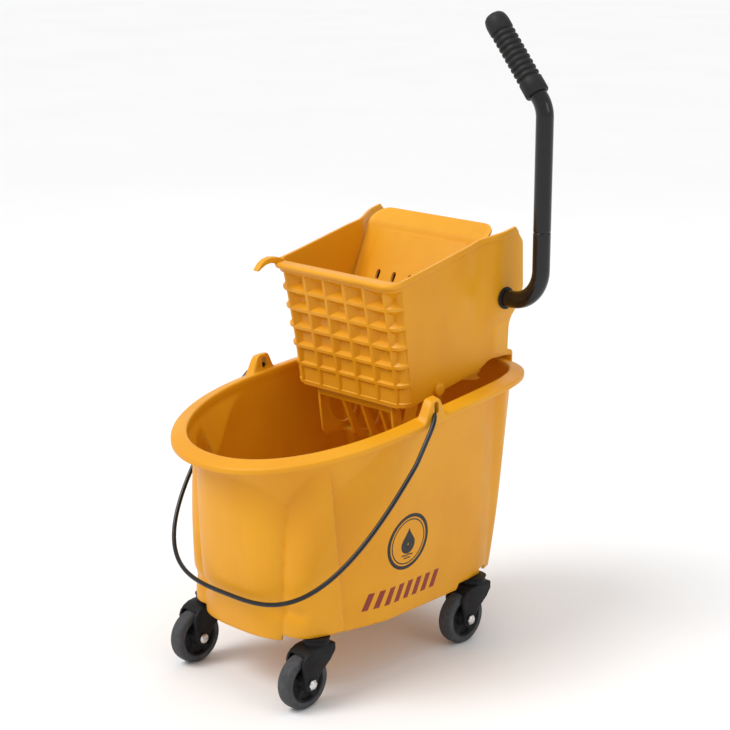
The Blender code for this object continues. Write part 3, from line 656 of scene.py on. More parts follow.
def make_bucket():
    wall = Wall()
    turns = range(BUCKET_STEPS)
    feet = [skirt_foot(wall.point(i, BASE_Z)) for i in turns]
    under = [wall.point(i, UNDERSIDE_Z, SKIRT_T) for i in turns]
    flat_under = wall.unfolded(UNDERSIDE_Z, PAST_FOLDS)
    rings = [shrunk(flat_under, share) for share in (0.15, 0.55, 1.0)]
    rings.append([tuple(p) for p in under])
    rings.append([wall.point(i, min(feet[i] + 0.0006, UNDERSIDE_Z - 0.00005), SKIRT_T) for i in turns])
    rings.append([wall.point(i, feet[i], SKIRT_T - 0.0008) for i in turns])
    rings.append([wall.point(i, feet[i], 0.0008) for i in turns])
    levels = 56
    for k in range(levels):
        share = k / (levels - 1)
        rings.append([wall.point(i, feet[i] + 0.0008 + (wall.top(i) - feet[i] - 0.0008) * share)
                      for i in turns])
    rings += rim_rings(wall)
    for k in range(levels):
        share = 1 - k / (levels - 1)
        low = FLOOR_Z + 0.010
        rings.append([wall.point(i, low + (wall.top(i) - low) * share, WALL) for i in turns])
    for angle in (25, 50, 75):
        inward = WALL + 0.010 * (1 - cos(radians(angle)))
        height = FLOOR_Z + 0.010 * (1 - sin(radians(angle)))
        rings.append([wall.point(i, height, inward) for i in turns])
    rings.append([wall.point(i, FLOOR_Z, WALL + 0.010) for i in turns])
    flat_floor = wall.unfolded(FLOOR_Z, PAST_FOLDS)
    rings += [shrunk(flat_floor, share) for share in (1.0, 0.6, 0.2)]
    bucket = skin("bucket", rings, "fan", 50)
    bosses = []
    for caster in CASTERS.values():
        boss = [(0.0040, WELL_TOP + 0.0002), (0.0045, WELL_TOP + 0.0010), (0.0045, UNDERSIDE_Z + 0.0015)]
        bosses.append(turned("caster_boss", boss, Matrix.Translation((caster.x, caster.y, 0)), 40))
    combine(bucket, bosses, "UNION")
    slots = []
    for side in (-1, 1):
        radius = 0.0043
        slot = arc((LUG_Y, BAIL_Z - 0.0001), radius, 180, 360, 10)
        slot += arc((LUG_Y, BAIL_Z + 0.0075), radius, 0, 180, 10)
        slots.append(prism("bail_slot", slot, *sorted((side * 0.150, side * 0.185))))
    combine(bucket, slots, "DIFFERENCE")
    soften(bucket, 50)
    return bucket


def project_on(tree, points, faces, name):
    """A thin printed film: flat (y, z) points laid on the bucket's +X side."""
    verts = []
    for offset in (PRINT_LIFT, -0.0002):
        for y, z in points:
            hit, normal, _, _ = tree.ray_cast(Vector((0.4, y, z)), Vector((-1, 0, 0)))
            verts.append(hit + normal * offset)
    count = len(points)
    edges = [pair for face in faces for pair in zip(face, face[1:] + face[:1])]
    used = set(edges)
    rim = [(a, b) for a, b in edges if (b, a) not in used]
    sides = [(a, b, b + count, a + count) for a, b in rim]
    back = [tuple(i + count for i in reversed(face)) for face in faces]
    return solid(name, verts, [tuple(f) for f in faces] + back + sides, 60)


def strip(rows):
    """Points and quads of a sheet made of equal rows."""
    points = [p for row in rows for p in row]
    width = len(rows[0])
    faces = []
    for r in range(len(rows) - 1):
        for i in range(width - 1):
            a = r * width + i
            faces.append([a, a + 1, a + 1 + width, a + width])
    return points, faces


def closed_strip(rows):
    """Points and quads of a ring-shaped sheet."""
    points = [p for row in rows for p in row]
    width = len(rows[0])
    faces = []
    for r in range(len(rows) - 1):
        for i in range(width):
            j = (i + 1) % width
            faces.append([r * width + i, r * width + j, (r + 1) * width + j, (r + 1) * width + i])
    return points, faces


def droplet(centre, size, scale):
    """Outline of a water drop with its tip up, drawn in or out by a scale."""
    points = []
    for i in range(48):
        a = 2 * pi * i / 48
        sharp = max(0.0, sin(a)) ** 3
        y = centre[0] + scale * size * cos(a) * (1 - 0.92 * sharp)
        z = centre[1] + scale * size * (sin(a) + 0.75 * sharp)
        points.append((y, z))
    return points


def make_sign(bucket):
    """Generic print on the side: a ringed water drop over a row of slanting red stripes."""
    bm = bmesh.new()
    bm.from_mesh(bucket.data)
    tree = BVHTree.FromBMesh(bm)
    bm.free()
    films = []
    for name, outer, inner in (("sign_outer_ring", 0.0400, 0.0350), ("sign_inner_ring", 0.0325, 0.0309)):
        rows = [arc(SIGN, outer + (inner - outer) * k / 2, 0, 352.5, 47) for k in range(3)]
        films.append((name, closed_strip(rows), BLACK_INK))
    rows = [droplet((SIGN[0], SIGN[1] - 0.004), 0.0135, share) for share in (1.0, 0.7, 0.4, 0.1)]
    films.append(("sign_drop", closed_strip(rows), BLACK_INK))
    for k, width in enumerate((0.022, 0.013)):
        z = SIGN[1] - 0.0205 - 0.0042 * k
        row = [(SIGN[0] - width / 2 + width * i / 12, z + 0.0007 * sin(4 * pi * i / 12)) for i in range(13)]
        rows = [row, [(y, height + 0.0017) for y, height in row]]
        films.append((f"sign_ripple_{k + 1}", strip(rows), BLACK_INK))
    for k in range(STRIPES):
        y = -0.1305 + STRIPE_PITCH * k
        rows = []
        for j in range(7):
            z = STRIPE_FOOT + STRIPE_H * j / 6
            lean = STRIPE_LEAN * j / 6
            rows.append([(y + lean + STRIPE_W * i / 4, z) for i in range(5)])
        films.append((f"sign_stripe_{k + 1}", strip(rows), RED_INK))
    for name, (points, faces), paint in films:
        fit(project_on(tree, points, faces, name), paint, "yellow_plastic", "bucket")


def make_bail():
    """The wire hangs from the lugs, forward and down in front of the nose."""
    direction = Vector((0, -cos(BAIL_DROP), -sin(BAIL_DROP)))
    start = Vector((0, LUG_Y, BAIL_Z))
    count = 120
    power = 2 / BAIL_POWER
    points = []
    for i in range(count + 1):
        angle = pi * i / count
        reach = BAIL_REACH * abs(sin(angle)) ** power
        half = BAIL_HALF * (1 - 0.055 * max(0.0, 1 - reach / 0.08))
        x = half * (1 if cos(angle) > 0 else -1) * abs(cos(angle)) ** power
        points.append(start + Vector((x, 0, 0)) + direction * reach)
    ends = [start + Vector((side * BAIL_END, 0, 0)) for side in (1, -1)]
    corners = [start + Vector((side * BAIL_CORNER, 0, 0)) for side in (1, -1)]
    kept = [p for p in points if (p - start).dot(direction) > 0.006]
    path = bend_through(ends[0], corners[0], kept[0]) + kept[1:-1]
    path += list(reversed(bend_through(ends[1], corners[1], kept[-1])))
    return tube("bail", path, BAIL_R, 16)


def bend_through(a, b, c, count=8):
    """A soft bend from a past the corner b to c."""
    path = []
    for i in range(count + 1):
        t = i / count
        path.append(a * (1 - t) ** 2 + b * (2 * t * (1 - t)) + c * t * t)
    return path


# ---------------------------------------------------------------- casters

def make_caster(corner):
    stem = CASTERS[corner]
    axle = AXLES[corner]
    x, y = stem.x, stem.y
    body = f"caster_{corner}"
    outward = 1 if x > 0 else -1

    cup = [(0.0040, CUP_TOP), (0.0176, CUP_TOP), (0.0184, CUP_TOP - 0.0003), (0.0185, CUP_TOP - 0.0007)]
    cup += [(0.0184, CUP_FOOT + 0.0002), (0.0176, CUP_FOOT), (0.0040, CUP_FOOT)]
    socket = turned(f"socket_{corner}", cup, Matrix.Translation((x, y, 0)), 56)
    fit(socket, BLACK, "black_plastic", "bucket", f"caster_socket_{corner}")

    fork_top = stem.z
    side = [(y + 0.0185, 0.0840), (y - 0.0140, 0.0840), (y - 0.0225, 0.0828), (y - 0.0310, 0.0790)]
    side += [(y - 0.0370, 0.0735), (y - 0.0395, 0.0670), (y - 0.0390, 0.0560)]
    side += arc((axle.y, axle.z), 0.0108, 190, 345, 10)
    side += [(y - 0.0080, 0.0480), (y + 0.0100, 0.0620), (y + 0.0185, 0.0730)]
    fork = prism(f"fork_{corner}", side, x - FORK_HALF, x + FORK_HALF, SIDE_VIEW, 0.0022, 3)
    gap = [(y - 0.090, -0.01), (y + 0.090, -0.01), (y + 0.090, 0.055), (y + 0.0100, 0.0780)]
    gap += [(y - 0.0300, 0.0780), (y - 0.0480, 0.0702), (y - 0.0660, 0.0560), (y - 0.0900, 0.0350)]
    combine(fork, [prism("wheel_gap", gap, x - CHEEK_IN, x + CHEEK_IN)], "DIFFERENCE")
    collar = [(0.006, 0.0800), (COLLAR_R, 0.0800), (COLLAR_R, 0.0850), (0.0172, fork_top - 0.0030)]
    collar += [(0.0168, fork_top - 0.0010), (0.0156, fork_top - 0.0002), (0.0060, fork_top - 0.0002)]
    tools = [turned("collar", collar, Matrix.Translation((x, y, 0)), 48)]
    for face in (-1, 1):
        boss = [(0.0030, 0.0170), (0.0092, 0.0170), (0.0092, 0.0177), (0.0084, 0.0180), (0.0030, 0.0180)]
        spot = along_x(x, axle.y, axle.z)
        if face < 0:
            spot = spot @ Matrix.Rotation(pi, 4, "X")
        tools.append(turned("boss", boss, spot, 32))
        ribs = [(y - 0.014, 0.0800), (y - 0.011, 0.0800), (axle.y + 0.0015, axle.z + 0.010)]
        ribs += [(axle.y - 0.0015, axle.z + 0.010)]
        ends = sorted((x + face * 0.0170, x + face * 0.0178))
        tools.append(prism("cheek_rib", ribs, *ends))
    combine(fork, tools, "UNION")
    fit(fork, BLACK, "black_plastic", body, f"caster_fork_{corner}")

    def spokes(a, r, h):
        dish = step(0.0115, 0.0135, r) * (1 - step(0.0235, 0.0250, r))
        web = step(0.35, 0.75, abs(cos(2.5 * a)))
        return r, h * (1 - 0.42 * dish * web)

    half = 0.0118
    hub = [(0.0044, half), (0.0085, half), (0.0095, half - 0.0006), (0.0100, 0.0100)]
    hub += [(0.0115, 0.0080), (0.0135, 0.0075), (0.0160, 0.0075), (0.0190, 0.0077), (0.0220, 0.0079)]
    hub += [(0.0235, 0.0082), (0.0250, 0.0096), (0.0262, 0.0104), (0.0272, 0.0104)]
    hub = hub + [(r, -h) for r, h in reversed(hub)]
    place_hub = along_x(x, axle.y, axle.z)
    wheel = turned(f"hub_{corner}", hub, place_hub, 120, "loop", spokes, 40)
    fit(wheel, BLACK, "black_plastic", f"wheel_{corner}", f"wheel_hub_{corner}")

    edge = [(0.0275, 0.0106), (0.0290, 0.0109), (0.0318, 0.0110), (0.0338, 0.0105), (0.0355, 0.0094)]
    edge += [(0.0366, 0.0078), (0.0373, 0.0054), (0.0376, 0.0030), (0.0376, 0.0010)]
    edge = edge + [(r, -h) for r, h in reversed(edge)]
    tyre = turned(f"tread_{corner}", edge, place_hub, 128, "loop")
    fit(tyre, TREAD, "grey_tread", f"wheel_{corner}", f"wheel_tread_{corner}")

    start = HARDWARE_IN

    def hexagon(a, r, h):
        """Flat faces round the nut, which turn into its round domed cap."""
        sixth = (a + pi / 6) % (pi / 3) - pi / 6
        return (r / cos(sixth) if h < start + 0.003 else r), h

    nut = [(0.0045, start), (0.0060, start), (0.0062, start + 0.0004), (0.0062, start + 0.0026)]
    nut += [(0.0056, start + 0.0032), (0.0052, start + 0.0036)]
    nut += [(0.0052 * cos(radians(t)), start + 0.0036 + 0.0018 * sin(radians(t))) for t in (25, 50, 72)]
    spot = along_x(x, axle.y, axle.z)
    if outward < 0:
        spot = spot @ Matrix.Rotation(pi, 4, "X")
    cap = turned(f"axle_nut_cap_{corner}", nut, spot, 48, "fan", hexagon)
    fit(cap, ZINC, "zinc_steel", body, f"axle_nut_{corner}", f"axle_bolt_{corner}")
    head = [(0.0030, start), (0.0066, start), (0.0068, start + 0.0004), (0.0067, start + 0.0016)]
    head += [(0.0055, start + 0.0029), (0.0035, start + 0.0037), (0.0012, start + 0.0040)]
    back = along_x(x, axle.y, axle.z)
    if outward > 0:
        back = back @ Matrix.Rotation(pi, 4, "X")
    bolt = turned(f"axle_bolt_head_{corner}", head, back, 48)
    shank = [(0.0039, -start - 0.0002), (0.0039, start + 0.0002)]
    combine(bolt, [turned("shank", shank, back, 32)], "UNION")
    fit(bolt, ZINC, "zinc_steel", body)


# ---------------------------------------------------------------- wringer

POCKET_SPLITS = 6


def front_y(z):
    """The front face leans forward towards its top."""
    slope = (WRINGER_TOP[0] - WRINGER_FOOT[0]) / (WRINGER_TOP[1] - WRINGER_FOOT[1])
    return WRINGER_FOOT[0] + slope * (z - WRINGER_FOOT[1])


def half_width(z):
    slope = (HALF_TOP - HALF_FOOT) / (WRINGER_TOP[1] - WRINGER_FOOT[1])
    return HALF_FOOT + slope * (z - WRINGER_FOOT[1])


def flare(y, z):
    """The rear of each side swells out into an ear round the cross shaft."""
    swell = 0.0118 * step(0.104, 0.146, y) * step(0.440, 0.484, z)
    swell += 0.0010 * step(0.560, 0.588, z) * step(0.12, 0.16, y)
    groove = 0.0022 * bump(y, 0.103, 0.013) * step(0.42, 0.50, z)
    return swell - groove


def marks(first, last, cells, rib):
    """Grid lines of a row of pockets: (position, share across the pocket, or None on a rib)."""
    lines = []
    pitch = (last - first) / cells
    for cell in range(cells):
        low = first + pitch * cell + rib / 2
        high = first + pitch * (cell + 1) - rib / 2
        for k in range(POCKET_SPLITS + 1):
            lines.append((low + (high - low) * k / POCKET_SPLITS, k, cell))
    return lines


def housing_lines():
    """The grid lines of the right half of the front, the corner and the side."""
    flat = marks(-1.0, 1.0, 5, 0.046)
    corner = marks(1.0, 1.92, 1, 0.050)
    side = [(2.0 + i / 22, None, None) for i in range(23)]
    left_side = [(-u, None, None) for u, _, _ in reversed(side)]
    left_corner = [(-u, POCKET_SPLITS - k, "left") for u, k, _ in reversed(corner)]
    corner = [(u, k, "right") for u, k, _ in corner]
    across = left_side + left_corner + flat + corner + side
    foot = 0.004 / 0.175
    head = 1 - 0.0105 / 0.175
    rows = marks(foot, head, 6, 0.0040 / 0.175)
    return across, [(0.004, None, None)] + rows


def outer_point(u, v):
    """The housing's outer surface: u runs round from the left rear to the right rear, v up."""
    side = 1 if u >= 0 else -1
    a = abs(u)
    z_front = WRINGER_FOOT[1] + 0.178 * v
    radius = 0.0145 + 0.0055 * v
    if a <= 1:
        y = front_y(z_front)
        out = Vector((0, -1))
    elif a <= 2:
        phi = (a - 1) * pi / 2
        y = front_y(z_front) + radius * (1 - cos(phi))
        out = Vector((side * sin(phi), -cos(phi)))
    else:
        rear = along([(0, 0.1755), (0.32, 0.174), (0.53, 0.187), (0.88, 0.181), (1, 0.1620)], v)
        y = front_y(z_front) + radius + (rear - front_y(z_front) - radius) * (a - 2)
        out = Vector((side, 0))
    low = along([(-0.040, 0.361), (0.116, 0.390), (0.136, 0.402), (0.20, 0.402)], y) if a > 1 else 0.361
    high = along([(-0.065, 0.539), (-0.015, 0.549), (0.108, 0.576), (0.162, 0.588), (0.20, 0.588)], y)
    if a <= 1:
        high = 0.539
    z = low + (high - low) * v
    half = half_width(z)
    if a <= 1:
        x = u * (half - radius)
    elif a <= 2:
        x = side * (half - radius * (1 - sin((a - 1) * pi / 2)))
    else:
        x = side * (half + flare(y, z))
    return Vector((x, y, z)), Vector((out.x, out.y, 0))


def inner_point(u, v):
    """The chamber's wall behind the same place on the outside."""
    outer, _ = outer_point(u, v)
    side = 1 if u >= 0 else -1
    a = abs(u)
    half = half_width(outer.z)
    front = front_y(WRINGER_FOOT[1] + 0.178 * v)
    if a <= 1:
        return Vector((outer.x, outer.y + FRONT_T, outer.z))
    if a <= 2:
        phi = (a - 1) * pi / 2
        radius = 0.0145 + 0.0055 * v
        x = (half - radius) + (radius - SIDE_T) * sin(phi) ** 0.66
        y = front + FRONT_T + 0.0075 * (1 - cos(phi) ** 0.66)
        return Vector((side * x, y, outer.z))
    rear, _ = outer_point(3.0, v)
    start = front + FRONT_T + 0.0075
    y = start + (rear.y - start) * (a - 2)
    near = hypot(y - SHAFT.y, outer.z - SHAFT.z)
    swell = flare(y, outer.z) * step(0.021, 0.029, near)
    return Vector((side * (half + swell - SIDE_T), y, outer.z))


def pocket_depth(column, row):
    """Depth of the pyramid pocket at one crossing of the grid lines."""
    if column[1] is None or row[1] is None:
        return 0.0
    a = column[1] / POCKET_SPLITS
    b = row[1] / POCKET_SPLITS
    depth = 0.0112 if isinstance(column[2], str) else 0.0136
    return depth * min(1.0, min(a, 1 - a, b, 1 - b) / 0.46)


def housing_ring(column, rows):
    """One closed loop up the outside, over the lip and down the inside."""
    u = column[0]
    lip = 0.0015 + 0.0050 * (1 - step(1.1, 2.3, abs(u)))
    loop = []
    start, _ = outer_point(u, 0.0)
    inside = inner_point(u, 0.0)
    loop.append(start.lerp(inside, 0.06))
    for row in rows:
        point, out = outer_point(u, row[0])
        loop.append(point - out * pocket_depth(column, row))
    for v, off in ((0.950, 0.0), (0.954, 0.5), (0.960, 0.88), (0.970, 1.0), (0.984, 1.0), (0.993, 0.85)):
        point, out = outer_point(u, v)
        loop.append(point + out * lip * off)
    outer, out = outer_point(u, 1.0)
    inside = inner_point(u, 1.0)
    crown = Vector((0, 0, 0.0012))
    edge = outer + out * lip * 0.5
    for share in (0.0, 0.3, 0.65, 0.92):
        loop.append(edge.lerp(inside, share) + crown * (0.3 + share * (1.2 - share)))
    loop.append(inner_point(u, 0.988))
    for row in reversed(rows):
        loop.append(inner_point(u, row[0]))
    loop.append(start.lerp(inside, 0.94))
    return loop


def diagonal(column, row):
    """Which way a grid cell's diagonal runs, so that a pocket's creases stay straight."""
    if column[1] is None or row[1] is None:
        return 0
    if column[1] == row[1]:
        return 1
    if column[1] + row[1] == POCKET_SPLITS - 1:
        return -1
    return 0


def make_housing():
    columns, rows = housing_lines()
    rings = [housing_ring(column, rows) for column in columns]
    count = len(rings[0])
    verts = [p for ring in rings for p in ring]
    faces = []
    for k in range(len(rings) - 1):
        for i in range(count):
            j = (i + 1) % count
            quad = (k * count + i, (k + 1) * count + i, (k + 1) * count + j, k * count + j)
            inside_pocket = columns[k][1] is not None and columns[k][1] < POCKET_SPLITS
            turn = diagonal(columns[k], rows[i - 1]) if inside_pocket and 1 <= i < len(rows) else 0
            if turn == 1:
                faces += [(quad[0], quad[1], quad[2]), (quad[0], quad[2], quad[3])]
            elif turn == -1:
                faces += [(quad[0], quad[1], quad[3]), (quad[1], quad[2], quad[3])]
            else:
                faces.append(quad)
    last = (len(rings) - 1) * count
    for i in range((count - 1) // 2):
        cap = (i, i + 1, count - 2 - i, count - 1 - i)
        cap = tuple(dict.fromkeys(cap))
        faces.append(cap)
        faces.append(tuple(last + p for p in reversed(cap)))
    housing = solid("wringer_housing_shell", verts, faces, 28)

    bores = [turned("shaft_bore", [(0.0135, -0.14), (0.0135, 0.14)], along_x(0, SHAFT.y, SHAFT.z), 48)]
    bores.append(turned("pin_bore", [(0.0033, -0.12), (0.0033, 0.12)],
                        along_x(0, PLATE_HINGE.y, PLATE_HINGE.z), 24))
    combine(housing, bores, "DIFFERENCE")

    caps = []
    wall = half_width(PLATE_HINGE.z)
    cap = [(0.0010, 0.0050), (0.0070, 0.0046), (0.0070, -0.0012), (0.0092, -0.0012), (0.0088, 0.0048)]
    cap += [(0.0080, 0.0060), (0.0060, 0.0066), (0.0010, 0.0068)]
    for turn in (0.0, pi):
        spot = Matrix.Rotation(turn, 4, "Z") @ along_x(wall, 0, 0)
        spot = Matrix.Translation((0, PLATE_HINGE.y, PLATE_HINGE.z)) @ spot
        caps.append(turned("pin_cap", cap, spot, 40))
    combine(housing, caps, "UNION")

    tie_half = half_width(0.41) - 0.0012
    tools = [slab("rear_tie", (-tie_half, REAR_Y - 0.006, 0.403), (tie_half, REAR_Y - 0.003, 0.424), 0.0008)]
    hook = [(-0.052, 0.5420), (-0.064, 0.5462), (-0.077, 0.5478), (-0.087, 0.5460), (-0.095, 0.5415)]
    hook += [(-0.1015, 0.5345), (-0.1028, 0.5315), (-0.0995, 0.5312), (-0.0940, 0.5350)]
    hook += [(-0.0860, 0.5385), (-0.077, 0.5396), (-0.066, 0.5370), (-0.052, 0.5310)]
    tools.append(prism("hook", hook, -0.1134, -0.1030, SIDE_VIEW, 0.0022, 3))
    combine(housing, tools, "UNION")
    soften(housing, 28)
    return fit(housing, YELLOW, "yellow_plastic", "wringer", "wringer_housing")


def make_grate():
    """The drain basket: two side cheeks, sloping ribs, and bars across them."""
    rim_z = 0.3603
    curve = arc((0.030, 0.318), 0.0335, 200, 330, 16)
    tail = [(0.0855, rim_z + 0.0117), (0.0745, rim_z + 0.0117)]
    outer = [(-0.0222, rim_z), (-0.0190, 0.3480)] + curve + tail
    inner = list(reversed(arc((0.030, 0.322), 0.0245, 190, 330, 16)))
    outline = outer + [(0.068, rim_z)] + inner + [(-0.0115, 0.3480), (-0.0105, rim_z)]
    ribs = []
    for x in GRATE_RIBS:
        ribs.append(prism("drain_basket", outline, x - 0.0027, x + 0.0027, SIDE_VIEW, 0.0007))
    grate, *tools = ribs
    cheek = [(-0.0222, rim_z), (-0.0185, 0.330), (-0.0140, 0.2960), (-0.0080, 0.2870)]
    cheek += arc((0.030, 0.318), 0.0338, 248, 330, 10) + tail + [(0.068, rim_z)]
    cheek += list(reversed(arc((0.030, 0.326), 0.026, 225, 330, 10)))
    cheek += [(0.0020, 0.3200), (-0.0040, 0.3480), (-0.0105, rim_z)]
    for side in (-1, 1):
        ends = sorted((side * (GRATE_SIDE - 0.0022), side * (GRATE_SIDE + 0.0022)))
        tools.append(prism("cheek", cheek, *ends, SIDE_VIEW, 0.0008))
    reach = GRATE_SIDE + 0.0020
    for low, high in (((-0.0205, 0.3490), (-0.0125, 0.3600)), ((0.0725, 0.3612), (0.0795, 0.3708)),
                      ((0.0240, 0.2864), (0.0360, 0.2915))):
        tools.append(slab("bar", (-reach, low[0], low[1]), (reach, high[0], high[1]), 0.0010))
    combine(grate, tools, "UNION")
    return fit(grate, YELLOW, "yellow_plastic", "wringer", "drain_grate")


def plate_place():
    """Local frame of the press plate: origin on its hinge, local z up the plate."""
    return Matrix.Translation((0, PLATE_HINGE.y, PLATE_HINGE.z)) @ Matrix.Rotation(-PLATE_LEAN, 4, "X")


def plate_sheet(name, inset, front, back, cols, rows):
    """The plate as one bent sheet: tapered, its top band leaning back with rounded corners."""
    total = PLATE_LEN + PLATE_BAND
    corner = max(0.004, 0.022 - inset)
    foot = 0.0095 + inset
    head = total - inset
    layers = []
    for depth in (front, back):
        grid = []
        for r in range(rows + 1):
            along_plate = foot + (head - foot) * (1 - (1 - r / rows) ** 1.35)
            taper = PLATE_FOOT_HALF + (PLATE_HALF - PLATE_FOOT_HALF) * min(1.0, along_plate / PLATE_LEN)
            half = taper - inset
            over = max(0.0, along_plate - (head - corner))
            half -= corner - sqrt(max(0.0, corner * corner - over * over))
            bend = min(1.0, max(0.0, (along_plate - PLATE_LEN + 0.005) / 0.010)) * BAND_LEAN
            reach = max(0.0, along_plate - PLATE_LEN)
            y = depth * cos(bend) + reach * sin(BAND_LEAN)
            z = min(along_plate, PLATE_LEN) + reach * cos(BAND_LEAN) - depth * sin(bend)
            grid.append([(half * (2 * c / cols - 1), y, z) for c in range(cols + 1)])
        layers.append(grid)
    verts = [p for grid in layers for row in grid for p in row]
    width = cols + 1
    size = width * (rows + 1)
    faces = []
    for r in range(rows):
        for c in range(cols):
            a = r * width + c
            faces.append((a, a + 1, a + 1 + width, a + width))
            faces.append((size + a, size + a + width, size + a + 1 + width, size + a + 1))
    loop = list(range(width)) + [r * width + cols for r in range(1, rows + 1)]
    loop += [rows * width + c for c in range(cols - 1, -1, -1)] + [r * width for r in range(rows - 1, 0, -1)]
    for a, b in zip(loop, loop[1:] + loop[:1]):
        faces.append((a, a + size, b + size, b))
    return solid(name, verts, faces, 30)


def make_plate():
    """The press plate: a border, a raised middle panel, a bent-back band, ribs and slots."""
    front_view = Matrix(((1, 0, 0, 0), (0, 0, -1, 0), (0, 1, 0, 0), (0, 0, 0, 1)))
    plate = plate_sheet("press_plate_panel", 0.0, -0.0030, 0.0, 20, 60)
    raised = [(-0.0800, 0.0240), (0.0800, 0.0240)]
    raised += arc((0.0850 - 0.010, PLATE_LEN - 0.010 - 0.010), 0.010, 0, 90, 8)
    raised += arc((-0.0850 + 0.010, PLATE_LEN - 0.010 - 0.010), 0.010, 90, 180, 8)
    tools = [prism("raised_panel", raised, 0.0010, 0.0040, front_view, 0.0010, 3)]
    for x in (-0.045, -0.015, 0.015, 0.045):
        high = (x + 0.0019, 0.0109, PLATE_LEN - 0.0060)
        tools.append(slab("plate_rib", (x - 0.0019, -0.0010, 0.0230), high, 0.0005))
    for level in (0.062, 0.122, 0.180):
        high = (0.0465, 0.0085, level + 0.0014)
        tools.append(slab("cross_rib", (-0.0465, -0.0010, level - 0.0014), high, 0.0005))
    barrel = [(0.0072, -0.0700), (0.0075, -0.0696), (0.0075, 0.0696), (0.0072, 0.0700)]
    tools.append(turned("plate_barrel", barrel, along_x(0, 0, 0), 40))
    tools.append(slab("plate_neck", (-0.0695, -0.0010, 0.0030), (0.0695, 0.0037, 0.0120), 0.0005))
    combine(plate, tools, "UNION")
    cutters = []
    for row in range(4):
        for col in range(5):
            x = -0.060 + 0.030 * col
            z = 0.047 + 0.030 * row
            slot = arc((x, z + 0.0040), 0.0036, 0, 180, 8) + arc((x, z - 0.0040), 0.0036, 180, 360, 8)
            cutters.append(prism("slot", slot, -0.02, 0.0200, front_view))
    cutters.append(turned("hinge_bore", [(0.0033, -0.1), (0.0033, 0.1)], along_x(0, 0, 0), 24))
    combine(plate, cutters, "DIFFERENCE")
    place(plate, plate_place())
    return fit(plate, YELLOW, "yellow_plastic", "press_plate", "press_plate")


def make_wringer_hardware():
    for name, side in (("left", -1), ("right", 1)):
        wall = half_width(SHAFT.z)
        inner = 0.0102
        profile = [(inner, wall - 0.006), (inner, wall + 0.0145), (0.0148, wall + 0.0145)]
        profile += [(0.0155, wall + 0.0139), (0.0155, wall + 0.0123), (0.0132, wall + 0.0123)]
        profile += [(0.0132, wall - 0.0055), (0.0128, wall - 0.006)]
        spot = along_x(0, SHAFT.y, SHAFT.z)
        if side < 0:
            spot = spot @ Matrix.Rotation(pi, 4, "X")
        bush = turned(f"bushing_{name}", profile, spot, 64, "loop")
        fit(bush, BLACK, "black_plastic", "wringer", f"shaft_bushing_{name}")
    turns = 4
    count = turns * 28
    points = []
    for i in range(count + 1):
        angle = 2 * pi * i / 28
        points.append((0.040 + 0.0036 * i / 28, SHAFT.y + 0.0135 * cos(angle), SHAFT.z + 0.0135 * sin(angle)))
    fit(tube("torsion_spring", points, 0.0013, 12), ZINC, "zinc_steel", "wringer", "return_spring")


def make_hangers():
    """Hooks that hold the wringer on the rear rim, with a stiffening rib each."""
    back = REAR_Y - 0.0026
    for name, x in (("left", -0.070), ("right", 0.070)):
        hook = [(back, 0.4000), (back, 0.4215), (back + 0.0030, 0.4215), (back + 0.0045, 0.4100)]
        hook += [(back + 0.0085, 0.4012), (RIM_REAR - 0.0030, 0.3988), (RIM_REAR + 0.0020, 0.3980)]
        hook += [(RIM_REAR + 0.0048, 0.3955), (RIM_REAR + 0.0054, 0.3930), (RIM_REAR + 0.0054, 0.3662)]
        hook += [(RIM_REAR + 0.0026, 0.3662), (RIM_REAR + 0.0022, 0.3901), (back, 0.3951)]
        piece = prism(f"hanger_{name}", hook, x - 0.0138, x + 0.0138, SIDE_VIEW, 0.0008)
        rib = [(back + 0.0020, 0.3990), (back + 0.0020, 0.4190), (back + 0.0068, 0.4080)]
        rib += [(back + 0.0076, 0.4020), (back + 0.0076, 0.3990)]
        combine(piece, [prism("hanger_rib", rib, x - 0.0012, x + 0.0012, SIDE_VIEW, 0.0004)], "UNION")
        fit(piece, YELLOW, "yellow_plastic", "wringer", f"rim_hanger_{name}")


# ----------------------------------------------------------------- handle

